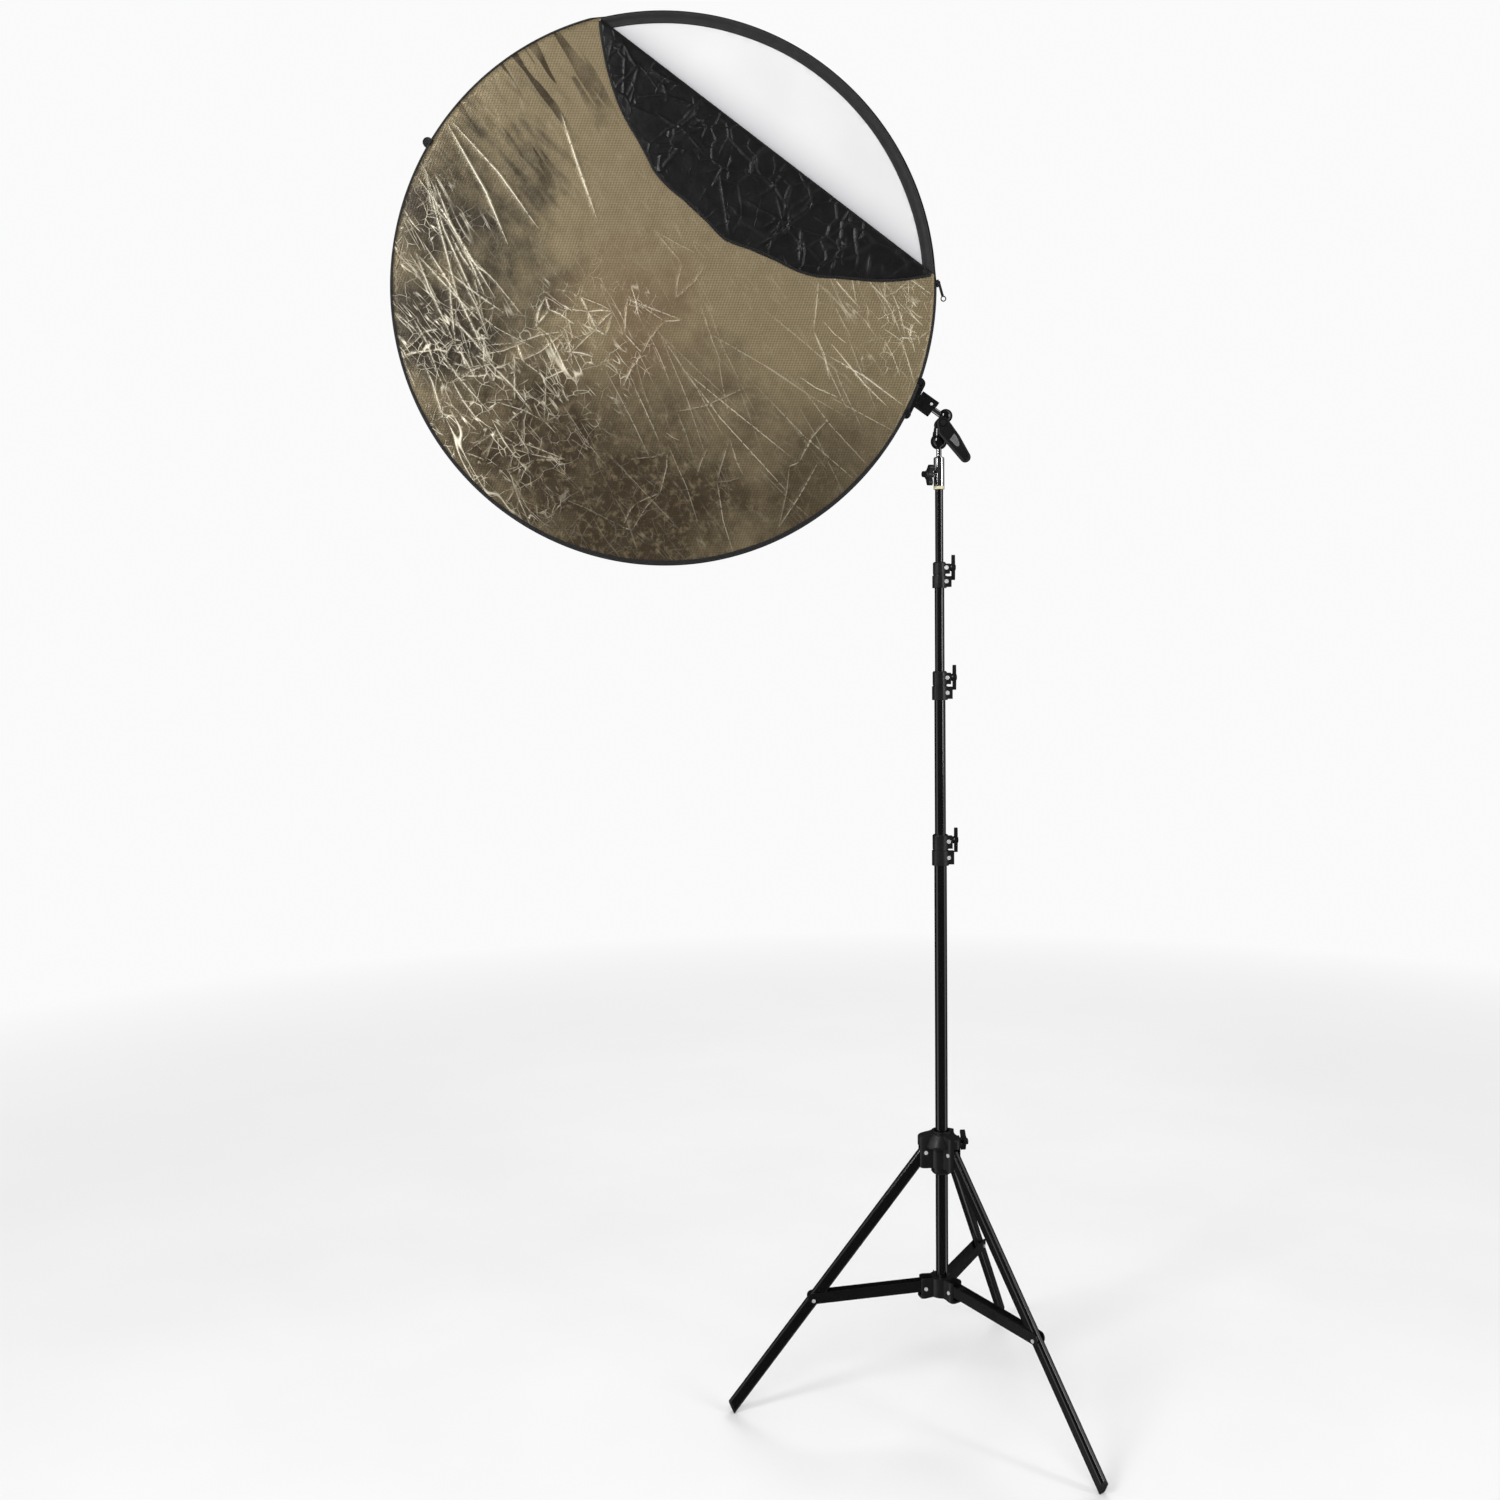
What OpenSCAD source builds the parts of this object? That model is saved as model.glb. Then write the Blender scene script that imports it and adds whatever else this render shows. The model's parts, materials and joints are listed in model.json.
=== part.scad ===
// Round fabric reflector on a swivel head, a telescopic holder arm and a folding light stand.
// Millimetres, +Z up. The origin is on the floor, on the axis of the column.
// The reflector faces -Y, and the column stands at its +X side.

/* [Legs] */
// Bearing of the left leg, anticlockwise from +X seen from above
first_leg_bearing = 185; // [181:1:189]
// Height of the leg pivots in the crown
crown_z = 525; // [520:1:540]
// Distance of the leg pivots from the column axis
leg_pivot_r = 35; // [34:0.5:37]
// Angle of each leg from the vertical
leg_tilt = 37.8; // [30:0.1:40]
// Depth of the leg tube, in the plane that it swings in
leg_depth = 24; // [20:0.5:24]
// Width of the leg tube
leg_width = 16; // [14:0.5:16]
// Distance along the leg from its pivot to the brace rivet
brace_at = 376; // [370:1:380]
// Height of the brace pivots in the lower hub
hub_z = 243; // [240:1:246]
// Distance of the brace pivots from the column axis
hub_pivot_r = 36.5; // [36:0.5:38]
// Depth of each brace strip
brace_depth = 22; // [18:1:22]

/* [Column] */
// Outer diameter of the base tube
tube_1_d = 25; // [24:0.5:26]
// Outer diameter of the second tube
tube_2_d = 22; // [21:0.5:22]
// Outer diameter of the third tube
tube_3_d = 19; // [18:0.5:19]
// Outer diameter of the top tube, which is also the stud for the head
tube_4_d = 16; // [15:0.5:16]
// Wall of every column tube
tube_wall = 1; // [0.8:0.1:1]
// Middle height of the first clamp collar
collar_1_z = 1137.5; // [1120:0.5:1150]
// Middle height of the second clamp collar
collar_2_z = 1465; // [1450:0.5:1480]
// Middle height of the third clamp collar
collar_3_z = 1682.5; // [1670:0.5:1690]
// Height of the bottom of the head's sleeve
sleeve_z = 1849.5; // [1840:0.5:1860]

/* [Head] */
// Sideways place of the tilt axis
tilt_x = 5; // [4:0.5:6]
// Height of the tilt axis
tilt_z = 1975; // [1970:1:1980]
// Angle of the arm's rod above the -X direction
rod_rise = 36; // [34:0.5:38]
// Diameter of the rod
rod_d = 12; // [10:0.5:12]
// Length of the lever, from the tilt axis to the middle of its tip
lever_length = 79; // [70:1:82]

/* [Reflector] */
// Diameter of the reflector
disc_d = 1050; // [1040:1:1060]
// Sideways place of the reflector's centre
disc_x = -532.5; // [-535:0.5:-530]
// Place of the reflector's middle plane, in front of the column axis
disc_y = -27; // [-32:0.5:-27]
// Height of the reflector's centre
disc_z = 2232; // [2230:1:2234]
// Direction of the middle of the opened corner, from +X towards +Z
corner_angle = 52.5; // [50:0.5:55]
// Distance from the centre to the fold of the opened corner
fold_distance = 335; // [320:1:350]
// Width of the webbing that binds the diffuser
binding_width = 25; // [20:1:28]
// Angle of the holder arm above the -X direction
arm_rise = 28; // [27:0.5:29]

/* [Hidden] */
$fn = 48;

run_gap = 0.05;        // radial gap of every running fit
press_gap = 0.02;      // radial gap between parts that are fixed together
big = 200;             // length of a tool that cuts right through

base_z = hub_z - 12;
tube_2_length = 720;
tube_3_length = 680;
tube_4_length = 640;
stud_top_z = sleeve_z + 51;

pin_r = 2.5;
brace_gap = 0.6;
strip_t = 2;
strip_y = leg_width / 2 + brace_gap;
foot_sole = 5;
leg_wall = 1.2;
leg_corner = 6;
rivet_x = leg_pivot_r + brace_at * sin(leg_tilt);
rivet_z = crown_z - brace_at * cos(leg_tilt);
brace_length = norm([rivet_x - hub_pivot_r, rivet_z - hub_z]);
brace_slope = atan2(hub_z - rivet_z, rivet_x - hub_pivot_r);
strip_rise = 4;
// Length of the leg's axis, which puts the foot's lower corner 1.5 below the floor before it is cut flat
leg_length = (crown_z + 1.5 - leg_depth / 2 * sin(leg_tilt)) / cos(leg_tilt);
foot_cut = 28;         // angle between the foot's sole and a square cut

disc_r = disc_d / 2;
edge_t = 3;
sheet_t = 0.8;
ring_r = disc_r - 7;
fold_gap = 0.6;

// ---------- shapes that repeat ----------

module along_x() rotate([0, 90, 0]) children();
module along_y() rotate([-90, 0, 0]) children();

// Bar with its middle at the origin, along Y
module cross_bar(r, length) along_y() cylinder(r = r, h = length, center = true);

module rounded_rect(size, r) {
    square([size.x - 2 * r, size.y], center = true);
    square([size.x, size.y - 2 * r], center = true);
    for (x = [-1, 1], y = [-1, 1])
        translate([x * (size.x / 2 - r), y * (size.y / 2 - r)]) circle(r = r, $fn = 24);
}

// Round disc with its edges rounded off, along Z
module pill(r, h, edge) {
    hull() {
        cylinder(r = r - edge, h = h, $fn = 32);
        translate([0, 0, edge]) cylinder(r = r, h = h - 2 * edge, $fn = 32);
    }
}

module pipe(d, bore, z0, z1) {
    difference() {
        translate([0, 0, z0]) cylinder(d = d, h = z1 - z0);
        translate([0, 0, z0 - 1]) cylinder(d = bore, h = z1 - z0 + 2);
    }
}

module column_tube(d, z0, z1) color("#151515") pipe(d, d - 2 * tube_wall, z0, z1);

// Plastic end plug: a flange that runs in the tube outside, and a spigot in the tube above
module tube_plug(outer_bore, d, z) {
    flange = 6;
    spigot = 12;
    color("#2a2a2a") difference() {
        union() {
            translate([0, 0, z - flange]) cylinder(d = outer_bore - 2 * run_gap, h = flange - 0.1);
            translate([0, 0, z - 0.2]) cylinder(d = d - 2 * tube_wall - 2 * press_gap, h = spigot);
        }
        translate([0, 0, z - flange - 1]) cylinder(d = d - 2 * tube_wall - 4, h = flange + spigot + 2);
    }
}

// ---------- clamp collars ----------

collar_half = [31, 28.5, 25.5];
collar_ear_x = [23.5, 21.5, 20];
knob_rise = [19.4, 15.8, 14.5];
screw_x = [15.5, 14, 12.8];
ear_y = 8;
screw_r = 2;
screw_head_r = 4.1;
knob_screw_r = 2.5;
lower_ear = 3;          // how far the lower ear of a collar reaches past the upper one
wing_hub = 3.5;         // length of a wing knob's hub, which clears the lower ear
knob_gap = 0.5;        // gap between a knob and the face that it tightens on

module collar(i, z, d_low, d_up) {
    half = collar_half[i];
    ring = d_low / 2 + 4.5;
    color("#1b1b1b") translate([0, 0, z]) difference() {
        union() {
            translate([0, 0, -half]) cylinder(r = ring, h = half - 1.5);
            translate([0, 0, -1.5]) cylinder(r = ring - 2, h = 3);
            translate([0, 0, 1.5]) cylinder(r = ring - 1.2, h = half - 4);
            translate([0, 0, half - 2.5]) cylinder(r1 = ring - 1.2, r2 = ring - 3.2, h = 2.5);
            translate([0, -ear_y, -half + 2]) cube([collar_ear_x[i] + lower_ear, 2 * ear_y, half - 4.5]);
            translate([0, -ear_y, 2.5]) cube([collar_ear_x[i], 2 * ear_y, half - 6]);
            translate([0, 0, knob_rise[i]]) along_x() cylinder(r = 7, h = collar_ear_x[i]);
        }
        translate([0, 0, -big]) cylinder(d = d_low + 2 * press_gap, h = big);
        translate([0, 0, -1]) cylinder(d = d_up + 2 * run_gap, h = big);
        translate([0, 0, knob_rise[i]]) along_x() cylinder(r = knob_screw_r + run_gap, h = big);
        for (s = screw_places(i)) translate(s) {
            cross_bar(screw_r + press_gap, 10);
            translate([0, -4, 0]) cross_bar(screw_head_r + press_gap, 8);
        }
    }
}

// Places of the two clamp screws, seen from the collar's middle
function screw_places(i) = [
    for (rise = [collar_half[i] * 0.55, -collar_half[i] * 0.5]) [screw_x[i], -ear_y, rise]
];

module collar_screws(i, z) {
    color("#d8d8d8") translate([0, 0, z]) for (s = screw_places(i)) translate(s) {
        translate([0, -1.3, 0]) cross_bar(screw_head_r, 2.5);
        translate([0, 1.2, 0]) cross_bar(screw_r, 7);
    }
}

// Two-winged knob whose axis is +X, with its screw reaching back to the tube
module wing_knob(i, z, d_up) {
    seat = collar_ear_x[i] + knob_gap;
    screw_end = d_up / 2 + 0.3;
    color("#141414") translate([0, 0, z + knob_rise[i]]) {
        translate([seat, 0, 0]) along_x() cylinder(r1 = 6.5, r2 = 8, h = wing_hub);
        translate([seat + wing_hub, 0, 0]) along_x() linear_extrude(6.5) wing_outline();
        translate([seat + wing_hub + 6.5, 0, 0]) along_x() cylinder(r1 = 7, r2 = 5, h = 1.4);
        translate([screw_end, 0, 0]) along_x() cylinder(r = knob_screw_r, h = seat + 1 - screw_end);
    }
}

module wing_outline() {
    circle(r = 8);
    for (side = [-1, 1]) hull() {
        circle(r = 6, $fn = 32);
        translate([side * 20.5, 0]) circle(r = 4.2, $fn = 32);
    }
}

// Three-lobed knob whose axis is +X, with the screw reaching back from its face
module lobed_knob(screw) {
    along_x() {
        cylinder(r1 = 5.5, r2 = 7, h = 4);
        translate([0, 0, 4]) linear_extrude(9) {
            circle(r = 9);
            for (turn = [20, 140, 260]) rotate(turn) hull() {
                circle(r = 6, $fn = 32);
                translate([16.5, 0]) circle(r = 5.8, $fn = 32);
            }
        }
        translate([0, 0, 13]) cylinder(r1 = 7, r2 = 5, h = 1.5);
        translate([0, 0, -screw]) cylinder(r = knob_screw_r, h = screw + 1);
    }
}

// ---------- crown and lower hub ----------

module at_leg(i) rotate([0, 0, first_leg_bearing + 120 * i]) children();

// Plan of a hub: a round core and three lobes with round ends
module hub_plan(core, end, half) {
    circle(r = core);
    for (i = [0:2]) at_leg(i) {
        translate([0, -half]) square([end - half, 2 * half]);
        translate([end - half, 0]) circle(r = half);
    }
}

crown_knob_bearing = first_leg_bearing + 180;
crown_knob_rise = 18;
crown_knob_x = 37;
crown_slot = 22.6;

module crown() {
    color("#1a1a1a") translate([0, 0, crown_z]) difference() {
        union() {
            intersection() {
                translate([0, 0, -32]) linear_extrude(80) hub_plan(25, leg_pivot_r + 14, 14);
                rotate_extrude() polygon([
                    [0, -32], [46, -32], [49.5, -28], [49.5, 29], [46.5, 32], [22, 38], [0, 38]
                ]);
            }
            rotate_extrude() polygon([
                [0, 9], [34, 9], [36, 11], [35.5, 15], [31, 27], [25, 35], [20, 38], [0, 38]
            ]);
            translate([0, 0, -46]) cylinder(r1 = 18.4, r2 = 21.4, h = 4);
            translate([0, 0, -42]) cylinder(r = 21.4, h = 12);
            translate([0, 0, 30]) cylinder(r = 20.5, h = 11);
            rotate([0, 0, crown_knob_bearing]) translate([0, 0, crown_knob_rise]) along_x()
                cylinder(r = 10, h = crown_knob_x - 1);
        }
        translate([0, 0, -big / 2]) cylinder(d = tube_1_d + 2 * run_gap, h = big);
        translate([0, 0, 37]) cylinder(r = 15.5, h = big);
        for (i = [0:2]) at_leg(i) {
            translate([crown_slot, -strip_y, -60]) cube([60, 2 * strip_y, 60 + leg_depth / 2 + 1.5]);
            translate([leg_pivot_r, 0, 0]) cross_bar(pin_r + press_gap, 60);
        }
        rotate([0, 0, crown_knob_bearing]) translate([0, 0, crown_knob_rise]) along_x()
            cylinder(r = knob_screw_r + run_gap, h = big);
    }
}

// A riveted pin with a head at each end
module headed_pin(half) {
    cross_bar(pin_r, 2 * half);
    for (side = [-1, 1]) translate([0, side * (half + 0.9), 0]) cross_bar(3.8, 1.8);
}

module crown_pins() {
    color("#d8d8d8") for (i = [0:2]) at_leg(i)
        translate([leg_pivot_r, 0, crown_z]) headed_pin(14);
}

module crown_knob() {
    color("#141414") rotate([0, 0, crown_knob_bearing])
        translate([crown_knob_x, 0, crown_z + crown_knob_rise])
            lobed_knob(crown_knob_x - tube_1_d / 2 - 0.3);
}

hub_half = 15;
hub_slot = 20.8;

module lower_hub() {
    color("#1a1a1a") difference() {
        union() {
            intersection() {
                translate([0, 0, hub_z - 21]) linear_extrude(41.5)
                    hub_plan(26, hub_pivot_r + 13.5, hub_half);
                translate([0, 0, hub_z]) rotate_extrude() polygon([
                    [0, -15], [14, -15], [30, -18], [44, -21], [47, -21],
                    [50, -18], [50, 17], [46, 20.5], [0, 20.5]
                ]);
            }
            for (i = [0:2]) at_leg(i)
                translate([16, -3, hub_z]) cube([2.5, 6, 31]);
        }
        translate([0, 0, hub_z - big / 2]) cylinder(d = tube_1_d + 2 * press_gap, h = big);
        for (i = [0:2]) at_leg(i) {
            translate([hub_slot, -strip_y - strip_t - 0.3, hub_z - 16])
                cube([60, 2 * (strip_y + strip_t + 0.3), 60]);
            translate([hub_pivot_r, 0, hub_z]) cross_bar(pin_r + press_gap, 60);
        }
    }
}

module hub_pins() {
    color("#d8d8d8") for (i = [0:2]) at_leg(i)
        translate([hub_pivot_r, 0, hub_z]) headed_pin(hub_half);
}

module base_tube() column_tube(tube_1_d, base_z, collar_1_z - 2);

module base_plug() {
    color("#222222") {
        translate([0, 0, base_z - 3]) cylinder(d = tube_1_d, h = 3);
        translate([0, 0, base_z - 0.1]) cylinder(d = tube_1_d - 2 * tube_wall - 2 * press_gap, h = 14);
    }
}

// ---------- legs and braces ----------

// Frame of a leg: the pivot is the origin, and the leg runs along -Z with its upper face at +X
module in_leg(i) at_leg(i) translate([leg_pivot_r, 0, crown_z]) rotate([0, -leg_tilt, 0]) children();

module leg_bar(size, r, z0, z1) translate([0, 0, z0]) linear_extrude(z1 - z0) rounded_rect(size, r);

// Plug that fills the inside of a leg's tube, with a slight press clearance all round
module spigot_bar(z0, z1) {
    inset = 2 * (leg_wall + press_gap);
    leg_bar([leg_depth - inset, leg_width - inset], leg_corner - leg_wall - press_gap, z0, z1);
}

// Half space on one side of the plane that lies rise above the oblique sole
// Side -1 is past that plane, and side 1 is before it
module sole_side(side, rise) translate([0, 0, -leg_length + leg_depth / 2 * tan(foot_cut) + rise])
    rotate([0, -foot_cut, 0]) translate([0, 0, side * 50]) cube(100, center = true);

module above_floor() translate([0, 0, big]) cube([2000, 2000, 2 * big], center = true);

module leg(i) {
    color("#121212") in_leg(i) difference() {
        intersection() {
            leg_bar([leg_depth, leg_width], leg_corner, -leg_length, leg_depth / 2);
            union() {
                cross_bar(leg_depth / 2, leg_width + 1);
                translate([-leg_depth, -leg_width, -leg_length])
                    cube([2 * leg_depth, 2 * leg_width, leg_length]);
            }
        }
        leg_bar([leg_depth - 2 * leg_wall, leg_width - 2 * leg_wall], leg_corner - leg_wall,
            -leg_length - 1, leg_depth);
        cross_bar(pin_r + run_gap, leg_width + 10);
        sole_side(-1, foot_sole);
    }
}

// Rubber end of a leg: an oblique sole and a spigot that fills the tube's end
module foot(i) {
    color("#0d0d0d") intersection() {
        in_leg(i) {
            difference() {
                leg_bar([leg_depth, leg_width], leg_corner, -leg_length, -leg_length + 40);
                sole_side(-1, 0);
                sole_side(1, foot_sole - 0.1);
            }
            difference() {
                spigot_bar(-leg_length, -leg_length + 40);
                sole_side(-1, foot_sole - 0.3);
            }
        }
        above_floor();
    }
}

// Frame of a brace: the hub pivot is the origin, and the brace runs along +X
module in_brace(i) at_leg(i) translate([hub_pivot_r, 0, hub_z]) rotate([0, brace_slope, 0]) children();

module strip_outline() {
    r = brace_depth / 2;
    difference() {
        union() {
            translate([0, strip_rise]) circle(r = r);
            translate([0, strip_rise - r]) square([brace_length, brace_depth]);
            translate([brace_length, strip_rise]) circle(r = r);
        }
        circle(r = pin_r + run_gap);
        translate([brace_length, 0]) circle(r = pin_r + press_gap);
    }
}

module brace(i) {
    color("#1c1c1c") in_brace(i) for (side = [0, 1]) mirror([0, side, 0])
        translate([0, strip_y + strip_t, 0]) rotate([90, 0, 0]) linear_extrude(strip_t) strip_outline();
}

module brace_rivets(i) {
    color("#d8d8d8") in_brace(i) for (side = [0, 1]) mirror([0, side, 0])
        translate([brace_length, strip_y + strip_t, 0]) {
            translate([0, -strip_t / 2, 0]) cross_bar(pin_r, strip_t);
            translate([0, 0.9, 0]) cross_bar(3.8, 1.8);
        }
}

module leg_left() leg(0);
module foot_left() foot(0);
module leg_right() leg(1);
module foot_right() foot(1);
module leg_rear() leg(2);
module foot_rear() foot(2);
module brace_left() brace(0);
module brace_left_rivets() brace_rivets(0);
module brace_right() brace(1);
module brace_right_rivets() brace_rivets(1);
module brace_rear() brace(2);
module brace_rear_rivets() brace_rivets(2);

// ---------- column ----------

tube_2_z = collar_2_z - tube_2_length;
tube_3_z = collar_3_z - tube_3_length;
tube_4_z = stud_top_z - tube_4_length;

module tube_2() column_tube(tube_2_d, tube_2_z, collar_2_z - 2);
module tube_3() column_tube(tube_3_d, tube_3_z, collar_3_z - 2);
module tube_4() column_tube(tube_4_d, tube_4_z, stud_top_z);
module tube_2_plug() tube_plug(tube_1_d - 2 * tube_wall, tube_2_d, tube_2_z);
module tube_3_plug() tube_plug(tube_2_d - 2 * tube_wall, tube_3_d, tube_3_z);
module tube_4_plug() tube_plug(tube_3_d - 2 * tube_wall, tube_4_d, tube_4_z);
module collar_1() collar(0, collar_1_z, tube_1_d, tube_2_d);
module collar_2() collar(1, collar_2_z, tube_2_d, tube_3_d);
module collar_3() collar(2, collar_3_z, tube_3_d, tube_4_d);
module collar_1_screws() collar_screws(0, collar_1_z);
module collar_2_screws() collar_screws(1, collar_2_z);
module collar_3_screws() collar_screws(2, collar_3_z);
module wing_knob_1() wing_knob(0, collar_1_z, tube_2_d);
module wing_knob_2() wing_knob(1, collar_2_z, tube_3_d);
module wing_knob_3() wing_knob(2, collar_3_z, tube_4_d);

// ---------- swivel head ----------

sleeve_r = 10.5;
sleeve_top = sleeve_z + 62.5;
stem_r = 5.2;
stem_top = sleeve_top + 20;
receiver_z = sleeve_z + 28;
receiver_turn = 200;
receiver_x = 14.5;

module sleeve() {
    color("#c8c8c8") difference() {
        union() {
            translate([0, 0, sleeve_z + 6]) cylinder(r = sleeve_r, h = sleeve_top - sleeve_z - 8);
            translate([0, 0, sleeve_top - 2]) cylinder(r1 = sleeve_r, r2 = sleeve_r - 2, h = 2);
            translate([0, 0, sleeve_top - 3]) cylinder(r = stem_r, h = stem_top - sleeve_top + 3);
            rotate([0, 0, receiver_turn]) translate([0, 0, receiver_z]) along_x()
                cylinder(r = 5, h = receiver_x - 0.5);
        }
        translate([0, 0, sleeve_z]) cylinder(d = tube_4_d + 2 * run_gap, h = stud_top_z - sleeve_z + 0.2);
        rotate([0, 0, receiver_turn]) translate([0, 0, receiver_z]) along_x()
            cylinder(r = knob_screw_r + run_gap, h = big);
    }
}

module sleeve_ring() color("#d9d6b4")
    pipe(2 * sleeve_r + 0.8, tube_4_d + 2 * run_gap, sleeve_z, sleeve_z + 5.8);

module receiver_knob() {
    color("#141414") rotate([0, 0, receiver_turn]) translate([receiver_x, 0, receiver_z])
        lobed_knob(receiver_x - tube_4_d / 2 - 0.3);
}

bulb_r = 16.2;
bulb_z = tilt_z - 32.5;
bulb_bottom = 14.5;
neck_r = 11;
neck_top = 27;
ear_r = 13;
tongue_half = 6.3;
ear_gap = 0.2;
ear_out = 12.5;
bolt_r = 4;

// Half outline of the pear-shaped casting, from the flat underneath to the top of the neck
function bulb_outline() = [
    [0, -bulb_bottom],
    for (turn = [asin(-bulb_bottom / bulb_r) : 8 : 48]) bulb_r * [cos(turn), sin(turn)],
    [neck_r, neck_top],
    [0, neck_top]
];

module head_base() {
    color("#101010") difference() {
        union() {
            translate([0, 0, bulb_z]) rotate_extrude() polygon(bulb_outline());
            for (side = [-1, 1]) translate([tilt_x, side * (tongue_half + ear_gap + ear_out) / 2, tilt_z])
                cross_bar(ear_r, ear_out - tongue_half - ear_gap);
        }
        translate([-30, -tongue_half - ear_gap, tilt_z - ear_r - 1.3])
            cube([60, 2 * (tongue_half + ear_gap), 50]);
        translate([tilt_x, 0, tilt_z]) cross_bar(bolt_r + press_gap, 60);
        translate([0, 0, bulb_z - 30]) cylinder(r = stem_r + press_gap, h = stem_top + 0.5 - bulb_z + 30);
    }
}

module tilt_bolt() {
    color("#8f8f8f") translate([tilt_x, 0, tilt_z]) {
        translate([0, -6, 0]) cross_bar(bolt_r, 44);
        translate([0, 15.3, 0]) cross_bar(7, 5.4, $fn = 6);
        translate([0, -29, 0]) cross_bar(6, 2.4);
    }
}

// Frame of the rod: the origin is on its axis above the tilt axis, and the rod runs along +X
rod_offset = 14.2;
module in_rod() translate([tilt_x, 0, tilt_z]) rotate([0, rod_rise + 180, 0])
    translate([0, 0, -rod_offset]) children();

dome_r = 13.5;

module head_jaw() {
    color("#101010") difference() {
        union() {
            translate([tilt_x, 0, tilt_z]) cross_bar(ear_r - 0.2, 2 * tongue_half);
            difference() {
                in_rod() translate([3, 0, -4]) sphere(r = dome_r, $fn = 48);
                translate([tilt_x, tongue_half + 50, tilt_z]) cross_bar(ear_r + 0.4, 100);
                translate([tilt_x, -tongue_half - 50, tilt_z]) cross_bar(ear_r + 0.4, 100);
            }
        }
        in_rod() translate([-6, 0, 0]) along_x() cylinder(d = rod_d + 2 * run_gap, h = 80);
        translate([tilt_x, 0, tilt_z]) cross_bar(bolt_r + run_gap, 60);
    }
}

lever_drop = 56;
lever_front = -28;
lever_t = 10;

// Frame of the lever: the origin is on the tilt axis, and the lever runs along +X, towards its tip
module in_lever() translate([tilt_x, lever_front, tilt_z]) rotate([0, lever_drop, 0])
    rotate([-90, 0, 0]) children();

module lever() {
    color("#101010") difference() {
        in_lever() {
            hull() {
                pill(12, lever_t, 3);
                translate([lever_length * 0.18, 5.5, 0]) pill(13, lever_t, 3);
                translate([lever_length / 2, 1, 0]) pill(14, lever_t, 4);
                translate([lever_length, 1, 0]) pill(10.5, lever_t, 4);
            }
            translate([0, 0, lever_t - 1]) cylinder(r = 9, h = -lever_front - ear_out - lever_t + 0.7);
        }
        translate([tilt_x, 0, tilt_z]) cross_bar(bolt_r + run_gap, 80);
        in_lever() translate([0, 0, -1]) cylinder(r = 7.5, h = 2.4);
        in_lever() translate([0, 0, -0.1]) linear_extrude(1.7) pad_outline(0);
    }
}

// Leaf shape of the grip pad: square at the axis end and rounded towards the tip
module pad_outline(inset) polygon([
    [29 + inset, -6 + inset], [36, -7 + inset], [46 - inset, -5.6 + inset], [53 - inset, -2.5],
    [54.5 - inset, 1], [52.5 - inset, 4 - inset], [34 + inset, 7.8 - inset]
]);

module lever_pad() {
    color("#6b6b6b") in_lever() {
        translate([0, 0, 0.3]) linear_extrude(1.2) pad_outline(0.15);
        for (rib = [0:5]) translate([34 + 3 * rib, -3.5, -0.1]) cube([1.4, 7, 0.5]);
    }
}

// ---------- holder arm ----------

block_length = 36.5;
block_width = 31;
block_half_y = 12;
block_x = 48.5;
clip_lean = 62.7;
clip_half = 29.5;
clip_y = -6;

module rod() color("#cfcfcf") in_rod() translate([-4, 0, 0]) along_x()
    cylinder(d = rod_d, h = block_x - block_length / 2 + 20);

module block() {
    color("#161616") in_rod() translate([block_x, 0, 0]) difference() {
        union() {
            rotate([90, 0, 0]) linear_extrude(2 * block_half_y, center = true)
                rounded_rect([block_length, block_width], 2);
            translate([-block_length / 2 - 2.5, -block_half_y, -block_width / 2])
                cube([6, 2 * block_half_y, 7]);
        }
        translate([-block_length / 2 - 1, -block_half_y + 2.5, -block_width / 2 + 9.5])
            cube([7, 2 * block_half_y - 5, block_width]);
        translate([-block_length, 0, 0]) along_x() cylinder(d = rod_d + 2 * press_gap, h = block_length - 2);
        translate([-9.5, 0, -4.6]) cross_bar(2 + press_gap, 60);
        for (groove = [0:2]) translate([7 + 3 * groove, -block_half_y - 1, -block_width / 2 + 3])
            cube([1.2, 1.8, 10]);
    }
}

module block_pin() {
    color("#e0e0e0") in_rod() translate([block_x - 9.5, 0, -4.6]) {
        for (side = [-1, 1]) translate([0, side * (block_half_y + 0.5), 0]) cross_bar(2.8, 1);
        for (side = [-1, 1]) translate([0, side * (block_half_y - 1.4), 0]) cross_bar(2, 3);
    }
}

// Frame of the arm: the origin is the middle of the near clips, and the arm runs along +X
near_x = disc_x + 484;
near_z = disc_z - 208;
module in_arm() translate([near_x, clip_y, near_z]) rotate([0, arm_rise + 180, 0]) children();

arm_tube_d = 16;
arm_inner_d = 13;
arm_span = 1059;
arm_tube_length = 560;
arm_inner_start = 270;

module arm_tube() {
    color("#161616") in_arm() difference() {
        translate([7, 0, 0]) along_x() cylinder(d = arm_tube_d, h = arm_tube_length - 7);
        along_x() cylinder(d = arm_inner_d + 2 * run_gap, h = big * 3);
    }
}

module arm_inner() {
    color("#c0c0c0") in_arm() difference() {
        translate([arm_inner_start, 0, 0]) along_x()
            cylinder(d = arm_inner_d, h = arm_span - arm_inner_start - 16);
        translate([arm_inner_start - 1, 0, 0]) along_x()
            cylinder(d = arm_inner_d - 2, h = arm_span - arm_inner_start - 24);
    }
}

// Frame of the reflector: the origin is its centre, X and Y lie in its plane, and +Z is the front
module in_disc() translate([disc_x, disc_y, disc_z]) rotate([90, 0, 0]) children();

// Hook that reaches round the rim, in the frame of the reflector, at an angle round the rim
hook_gap = 0.5;
hook_half = 6;
front_z = 8.5;
back_z = -9.2;

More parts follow.
